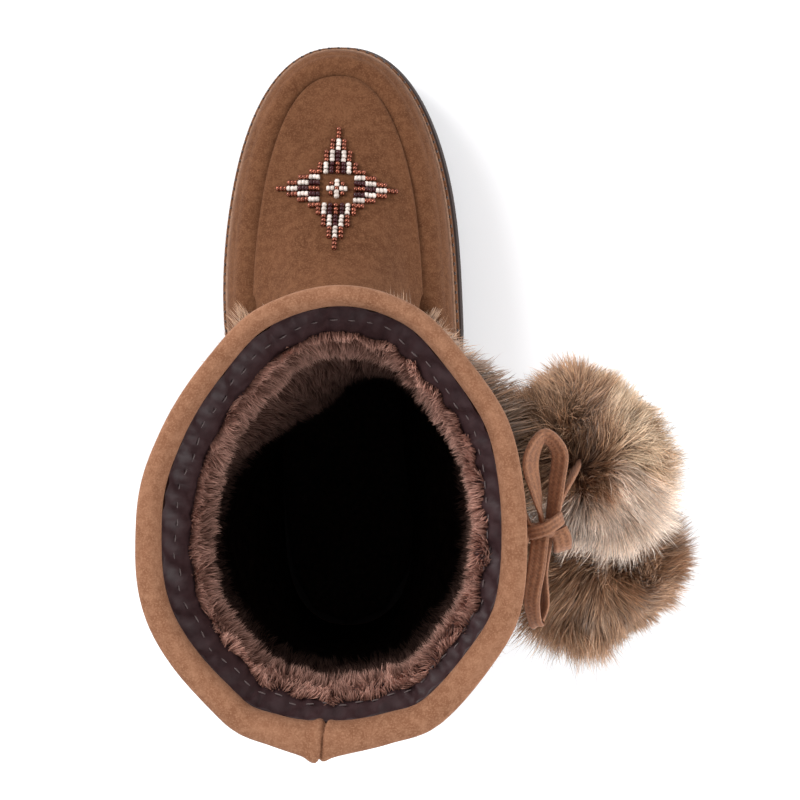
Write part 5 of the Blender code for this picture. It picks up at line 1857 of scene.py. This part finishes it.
# %% Ball maker
def fur_ball(name, centre, radii, lean, parting, length, seed):
    """A lumpy core and its hairs, which part at the pole and are combed down the sides."""
    rng = np.random.default_rng(seed)
    centre = np.array(centre)
    radii = np.array(radii)

    def place(directions, share):
        at = directions * radii * share
        at[:, 0] += lean * at[:, 1]
        return centre + at

    let_go()
    bpy.ops.mesh.primitive_ico_sphere_add(subdivisions=5, radius=1.0)
    core = bpy.context.object
    co = np.array([v.co for v in core.data.vertices])
    lump = 0.05 * (blotches(co * 20, seed, 5.0) - 0.5)
    core.data.vertices.foreach_set("co", (place(co, (0.93 + lump)[:, None]) * MM).ravel())
    core = keep_as_piece(core, "fur_ball_core_" + name, 180.0)
    dress(core, under_fur)
    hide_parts("pompom_" + name)

    n = sphere_spread(BALL_HAIRS, seed + 1)
    roots = place(n, 0.90)
    normal = unit(n / radii)
    pole = unit(np.array(parting))
    away = -(pole - normal * (normal @ pole)[:, None])
    turn = np.linalg.norm(away, axis=1, keepdims=True)
    lay = normal * 0.58 + unit(away) * 0.52 * smooth(turn / 0.6)
    lay += 1.05 * swirls(roots, seed + 2, 15.0) + 0.85 * swirls(roots, seed + 5, 6.5)
    lay += rng.normal(size=lay.shape) * 0.15
    outwards = (unit(lay) * normal).sum(1, keepdims=True)
    lay = unit(lay) + normal * np.clip(0.42 - outwards, 0, 1)
    guard = rng.random(BALL_HAIRS) < GUARD_SHARE
    size = length * rng.uniform(0.72, 1.08, BALL_HAIRS) * np.where(guard, GUARD_LENGTH, 1.0)
    for x, y, wide, gain in REACH[name]:
        size *= 1.0 + gain * np.exp(-((n[:, 0] - x) ** 2 + (n[:, 1] - y) ** 2) / wide**2)
    guides = rng.choice(BALL_HAIRS, BALL_LOCKS, replace=False)
    locks = nearest_guides(roots, guides)
    weights = ball_weights(name, n, roots)
    weights = weights * rng.uniform(0.25, 1.75, size=(BALL_HAIRS, len(PALETTES))) ** 2
    tones = banded(weights, *PALETTES) * rng.uniform(0.84, 1.28, size=(BALL_HAIRS, 1, 1))
    tones = tones * rng.uniform(0.62, 1.36, size=BALL_HAIRS)[locks][:, None, None]
    tones[guard, 2:] *= 0.35
    hairs = hair_coat(
        "fur_ball_hairs_" + name,
        roots,
        lay,
        size,
        np.array((0.0, 0.0, -0.16)) + 0.55 * swirls(roots, seed + 8, 9.0),
        tones,
        np.where(guard, GUARD_WIDTH, BALL_HAIR_WIDTH),
        seed + 3,
        locks=locks,
        gather=0.46,
        face=normal * 1.3,
        frizz=0.16,
    )
    dress(hairs, long_fur)
    return core, hairs


print("locks on each ball:", BALL_LOCKS)

# %% The two balls
WOOL = ((0.075, 0.046, 0.030), (0.210, 0.130, 0.082))
under_fur = matted("under_fur", (0.06, 0.038, 0.026), 330.0, WOOL, 0.002, Specular_IOR_Level=0.1)

ball_seed = 60
for name, (centre, radii, lean, parting, length, end) in BALLS.items():
    core, hairs = fur_ball(name, centre, radii, lean, parting, length, ball_seed)
    ball_seed += 10
    print("fur ball", name, triangles(core) + triangles(hairs), "triangles")

# %% [markdown]
# ## The fur wrap
# Long fur covers the shaft from the instep to the cuff. Its hairs grow out of the skin at a low
# angle and hang, a bit like thatch, so each one starts near the last, leans down along it and lifts
# only as much as the hairs below let it. A lumpy under-coat follows the same envelope as the solid
# wrap, and the hairs are combed into locks over it. They are shorter and flatter at the front, where
# the wrap meets the apron, and a tuft of darker fur flares out between the shaft and the upper ball;
# its hairs are darkened further there as painted shade of the gap between them.

# %% The wrap's measures
WRAP_HAIRS = 25000
WRAP_LOCKS = 1900
WRAP_LENGTH = 25.0
# share by which the fur is thinner at the front, and half the width of that stretch in u
FRONT_THIN, FRONT_SPREAD = 0.42, 0.075
# place round the shaft of the tuft, and its width in u
FLARE_PLACE, FLARE_WIDTH = 0.175, 0.055
# place round the shaft, share of the usual thickness
WRAP_FULLNESS = (
    (0.00, 1.00),
    (0.09, 1.20),
    (0.135, 1.55),
    (0.17, 1.10),
    (0.20, 0.70),
    (0.25, 0.60),
    (0.29, 0.75),
    (0.33, 1.00),
    (0.37, 1.35),
    (0.42, 1.10),
    (0.50, 1.00),
    (1.00, 1.00),
)
WRAP_COLUMNS = 180
WRAP_LEVELS = 46
# columns and steps of height in the table of rows
TABLE_COLUMNS, TABLE_STEPS = 360, 60


def fur_border(u):
    """Row where the fur starts, a little above the apron's edge."""
    return np.maximum(plug_border(u) + 0.08, PLUG_ROWS[0] + 0.14)


def front_thin(u):
    """Share of the thickness that is left; the fur is thin over the instep."""
    turn = np.mod(np.asarray(u) + 0.5, 1.0) - 0.5
    return 1.0 - FRONT_THIN * np.exp(-((turn / FRONT_SPREAD) ** 2))


def fullness(u):
    """Share of the usual thickness: full at the outer front, flat behind the upper ball."""
    places, shares = np.array(WRAP_FULLNESS).T
    return np.interp(np.mod(u, 1.0), places, shares)


print("the fur starts at row", fur_border(0.0), "in front and", fur_border(0.5), "behind")

# %% Rows by height
TABLE_U = around(TABLE_COLUMNS)
TABLE_SHARE = np.linspace(0, 1, TABLE_STEPS + 1)


def height_table():
    """Rows at even steps of height up the wrap, for each column, with its height in mm."""
    rows = np.linspace(fur_border(TABLE_U), FUR_TOP_ROW, 120)
    points = form(TABLE_U[None], rows)
    run = np.zeros(rows.shape)
    run[1:] = np.cumsum(np.linalg.norm(np.diff(points, axis=0), axis=2), axis=0)
    columns = [np.interp(TABLE_SHARE * run[-1, k], run[:, k], rows[:, k]) for k in range(TABLE_COLUMNS)]
    return np.stack(columns), run[-1]


WRAP_TABLE, WRAP_HEIGHT = height_table()


def wrap_row(u, share):
    """Row of the form at a share of the wrap's height."""
    a = np.mod(u, 1.0) * TABLE_COLUMNS
    left = np.floor(a).astype(int) % TABLE_COLUMNS
    right = (left + 1) % TABLE_COLUMNS
    blend = a - np.floor(a)
    b = np.clip(share, 0, 1) * TABLE_STEPS
    low = np.minimum(np.floor(b).astype(int), TABLE_STEPS - 1)
    rest = b - low
    at_left = WRAP_TABLE[left, low] * (1 - rest) + WRAP_TABLE[left, low + 1] * rest
    at_right = WRAP_TABLE[right, low] * (1 - rest) + WRAP_TABLE[right, low + 1] * rest
    return at_left * (1 - blend) + at_right * blend


print("height of the wrap:", WRAP_HEIGHT.min().round(0), "to", WRAP_HEIGHT.max().round(0), "mm")

# %% Under-coat
FUR_FOOT_ROW = PLUG_ROWS[0] + 0.14
COAT_THICKNESS = (0.4, 3.6)
COAT_LUMPS = 2.1
# rows of the under-coat's inner face
COAT_BACK = (FUR_FOOT_ROW, 4.2, 5.7, 6.9, 7.5, 8.1, 8.7, 9.8, 11.0, FUR_TOP_ROW)

u_wrap = around(WRAP_COLUMNS)
coat_loops = []
for share_up in np.linspace(1.0, 0.0, WRAP_LEVELS):
    rows = wrap_row(u_wrap, np.full(WRAP_COLUMNS, share_up))
    lumps = COAT_LUMPS * (blotches(form(u_wrap, rows), 71, 12.0) - 0.5)
    edge = smooth(share_up / 0.07) * smooth((1.02 - share_up) / 0.10)
    depth = (COAT_THICKNESS[0] + (COAT_THICKNESS[1] + lumps) * edge) * front_thin(u_wrap)
    coat_loops.append(skin(u_wrap, rows, depth * fullness(u_wrap)))
low = fur_border(u_wrap)
for row in COAT_BACK:
    t = (row - FUR_FOOT_ROW) / (FUR_TOP_ROW - FUR_FOOT_ROW)
    coat_loops.append(skin(u_wrap, low + (FUR_TOP_ROW - low) * t, -RECESS + GAP + 0.8))
coat = band("fur_wrap_under_coat", coat_loops, 180.0)
dress(coat, under_fur)
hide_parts("fur_wrap")
print("under-coat:", triangles(coat), "triangles")


# %% Hairs of the wrap
def wrap_hairs(part, low_share, high_share, seed):
    """The hairs between two shares of the wrap's height, spread evenly over its surface."""
    count = WRAP_HAIRS
    rng = np.random.default_rng(seed)
    tries = rng.random((count * 3, 2))
    u_try = tries[:, 0]
    tall = np.interp(u_try, TABLE_U, WRAP_HEIGHT, period=1.0)
    keep = rng.random(len(u_try)) < tall / WRAP_HEIGHT.max()
    u = u_try[keep][:count]
    up = low_share + (high_share - low_share) * tries[keep][:count, 1]
    rows = wrap_row(u, up)
    thin = front_thin(u)
    roots = skin(u, rows, 1.6 * thin)
    normal = outward(u, rows)
    down = unit(form(u, rows - 0.12) - form(u, rows + 0.02))
    side = np.cross(normal, down)
    sway = blotches(roots, seed + 1, 34.0) - 0.5
    lift = (0.30 + 0.22 * blotches(roots, seed + 2, 15.0)) * fullness(u)
    flare = np.exp(-(((u - FLARE_PLACE) / FLARE_WIDTH) ** 2)) * smooth((up - 0.45) / 0.35)
    lift += 0.80 * flare
    lay = down + normal * lift[:, None] + side * (0.75 * sway)[:, None]
    lay += 0.45 * swirls(roots, seed + 5, 9.0) + rng.normal(size=lay.shape) * 0.085
    foot = smooth((up * np.interp(u, TABLE_U, WRAP_HEIGHT, period=1.0) + 4.0) / 22.0)
    share = (thin - 1 + FRONT_THIN) / FRONT_THIN
    lay -= normal * (0.16 * (1 - share))[:, None]
    size = WRAP_LENGTH * (0.45 + 0.55 * foot) * (0.66 + 0.34 * share)
    guard = rng.random(len(u)) < 0.07
    size = size * rng.uniform(0.72, 1.08, len(u)) * np.where(guard, 1.15, 1.0)
    guides = rng.choice(len(u), WRAP_LOCKS, replace=False)
    locks = nearest_guides(roots, guides)
    mottle = blotches(roots, 81, 26.0)
    fine = blotches(roots, 83, 8.0)
    pale = np.full_like(mottle, 0.12)
    weights = {
        "olive": 0.25 + 0.5 * mottle,
        "umber": 0.8 + 0.3 * fine + 1.2 * flare,
        "sable": 0.25 + 0.5 * (1 - mottle) + 2.4 * flare,
        "cream": pale / 2,
        "slate": 0.2 * fine,
        "rust": 0.25 + 0.4 * mottle,
        "sand": pale,
    }
    weights = np.stack(list(weights.values()), 1) * rng.uniform(0.25, 1.75, size=(len(u), len(PALETTES))) ** 2
    tones = banded(weights, *PALETTES) * rng.uniform(0.75, 1.2, size=(len(u), 1, 1))
    # painted shade: the tuft's hairs are darkened further, as the shade of the gap between the shaft and the
    # upper ball, on top of their darker mix of umber and sable
    tones = tones * (1.0 - 0.35 * flare)[:, None, None]
    hairs = hair_coat(
        "fur_wrap_hairs_" + part,
        roots,
        lay,
        size,
        normal * -0.05 + np.array((0.0, 0.0, -0.10)),
        tones,
        np.where(guard, 0.30, 0.52),
        seed + 3,
        locks=locks,
        gather=0.58,
        face=normal * 1.2,
        frizz=0.07,
    )
    dress(hairs, long_fur)
    print("fur wrap", part, triangles(hairs), "triangles")


wrap_hairs("low", 0.0, 0.52, 90)
wrap_hairs("high", 0.48, 1.0, 110)

# %% [markdown]
# ## The bead star
# A four-pointed star of seed beads is sewn on the apron. It is a counted pattern: every arm has
# seven threads, each thread starts three beads further in than its neighbour, and along a thread
# the beads come in threes, copper, cream, maroon and copper again. A plain rosette fills the middle.
# A bead is a short ring, and it sits on the suede where a ray straight down meets it, with its hole
# along its thread.

# %% Chart of the star
# x and y of its middle in mm
STAR_CENTRE = (-4.3, 161.3)
STAR_TURN = math.radians(-1.6)
# mm from bead to bead, and from the middle to an arm's last bead: arms across the foot, arms along it
BEAD_PITCH = (1.52, 1.71)
ARM_START = (7.9, 7.4)
THREAD_SPACING = 2.46
ARM_BEADS = 12
GROUPS = ("copper", "cream", "maroon", "copper")
# mm from the middle of the rosette's two cream beads on each arm, and of its copper ones between them
ROSETTE_CREAM = ((1.85, 3.55), (1.40, 3.10))
ROSETTE_COPPER = (3.4, 3.0)


def star_beads():
    """x, y, direction of the hole and colour of every bead."""
    beads = []
    for arm in range(4):
        turn = arm * math.pi / 2
        ahead = (math.cos(turn), math.sin(turn))
        side = (-math.sin(turn), math.cos(turn))
        for thread_number in range(-3, 4):
            for number in range(ARM_BEADS - 3 * abs(thread_number)):
                steps = ARM_BEADS - 1 - 3 * abs(thread_number) - number
                along = ARM_START[arm % 2] + steps * BEAD_PITCH[arm % 2]
                across = thread_number * THREAD_SPACING
                x = along * ahead[0] + across * side[0]
                y = along * ahead[1] + across * side[1]
                beads.append((x, y, turn, GROUPS[number // 3]))
    for k in range(4):
        turn = k * math.pi / 2
        for distance in ROSETTE_CREAM[k % 2]:
            beads.append((distance * math.cos(turn), distance * math.sin(turn), turn, "cream"))
        between = turn + math.pi / 4
        x, y = ROSETTE_COPPER[0] * math.cos(between), ROSETTE_COPPER[1] * math.sin(between)
        beads.append((x, y, turn, "copper"))
    beads.append((0.0, 0.0, 0.0, "copper"))
    return beads


print("beads in the chart:", len(star_beads()))

# %% Seed beads
BEAD_RADIUS = 1.16
BEAD_HALF_LENGTH = 0.76
# share of its radius that a bead's middle stands over the suede, unevenness of place and of turn
BEAD_LIFT, BEAD_SHAKE, BEAD_TILT = 0.86, 0.07, 0.06
RAY_HEIGHT = 0.15
GLASS = {
    "copper": (
        (0.320, 0.092, 0.050),
        dict(Metallic=0.85, Roughness=0.22, Coat_Weight=0.35, Coat_Roughness=0.12),
    ),
    "cream": ((0.86, 0.74, 0.66), dict(Roughness=0.3, Coat_Weight=0.3)),
    "maroon": ((0.050, 0.006, 0.008), dict(Roughness=0.3, Specular_IOR_Level=0.3, Coat_Weight=0.1)),
}

let_go()
bpy.ops.mesh.primitive_torus_add(major_segments=10, minor_segments=6, major_radius=0.66, minor_radius=0.40)
ring_verts, ring_faces = taken_shape()
ring_verts = ring_verts / np.abs(ring_verts).max(0)
apron_tree = BVHTree.FromObject(apron, bpy.context.evaluated_depsgraph_get())


def on_apron(x, y):
    """Where a ray straight down from above meets the apron, with its normal."""
    start = Vector((x * MM, y * MM, RAY_HEIGHT))
    point, normal, _, _ = apron_tree.ray_cast(start, Vector((0, 0, -1)))
    return np.array(point) / MM, np.array(normal)


spun = {}
rng = np.random.default_rng(5)
c, s = math.cos(STAR_TURN), math.sin(STAR_TURN)
for colour, (paint, finish) in GLASS.items():
    mat, tree, shader = shader_of("bead_" + colour, paint, **finish)
    lot = texture_on(tree, "ShaderNodeTexNoise", Scale=420.0, Detail=1.0)
    darker = tuple(c * 0.62 for c in paint) + (1.0,)
    colour_from(tree, shader, blend_node(tree, span(tree, lot, 0.35, 0.65), darker, (*paint, 1.0)))
    places, axes = [], []
    for x, y, turn, kind in star_beads():
        if kind != colour:
            continue
        shake = rng.normal(size=2) * BEAD_SHAKE
        x, y = STAR_CENTRE[0] + x * c - y * s + shake[0], STAR_CENTRE[1] + x * s + y * c + shake[1]
        seat, normal = on_apron(x, y)
        hole = np.array((math.cos(turn + STAR_TURN), math.sin(turn + STAR_TURN), 0.0))
        hole = unit(hole - normal * (hole @ normal) + rng.normal(size=3) * BEAD_TILT)
        side = unit(np.cross(normal, hole))
        places.append(seat + normal * (BEAD_RADIUS * BEAD_LIFT))
        axes.append((side, np.cross(hole, side), hole))
    sizes = np.tile((BEAD_RADIUS, BEAD_RADIUS, BEAD_HALF_LENGTH), (len(places), 1))
    beads = copies("seed_beads_" + colour, (ring_verts, ring_faces), np.array(places), np.array(axes), sizes)
    dress(beads, mat)
    spun[colour] = len(places)
print("beads:", spun)
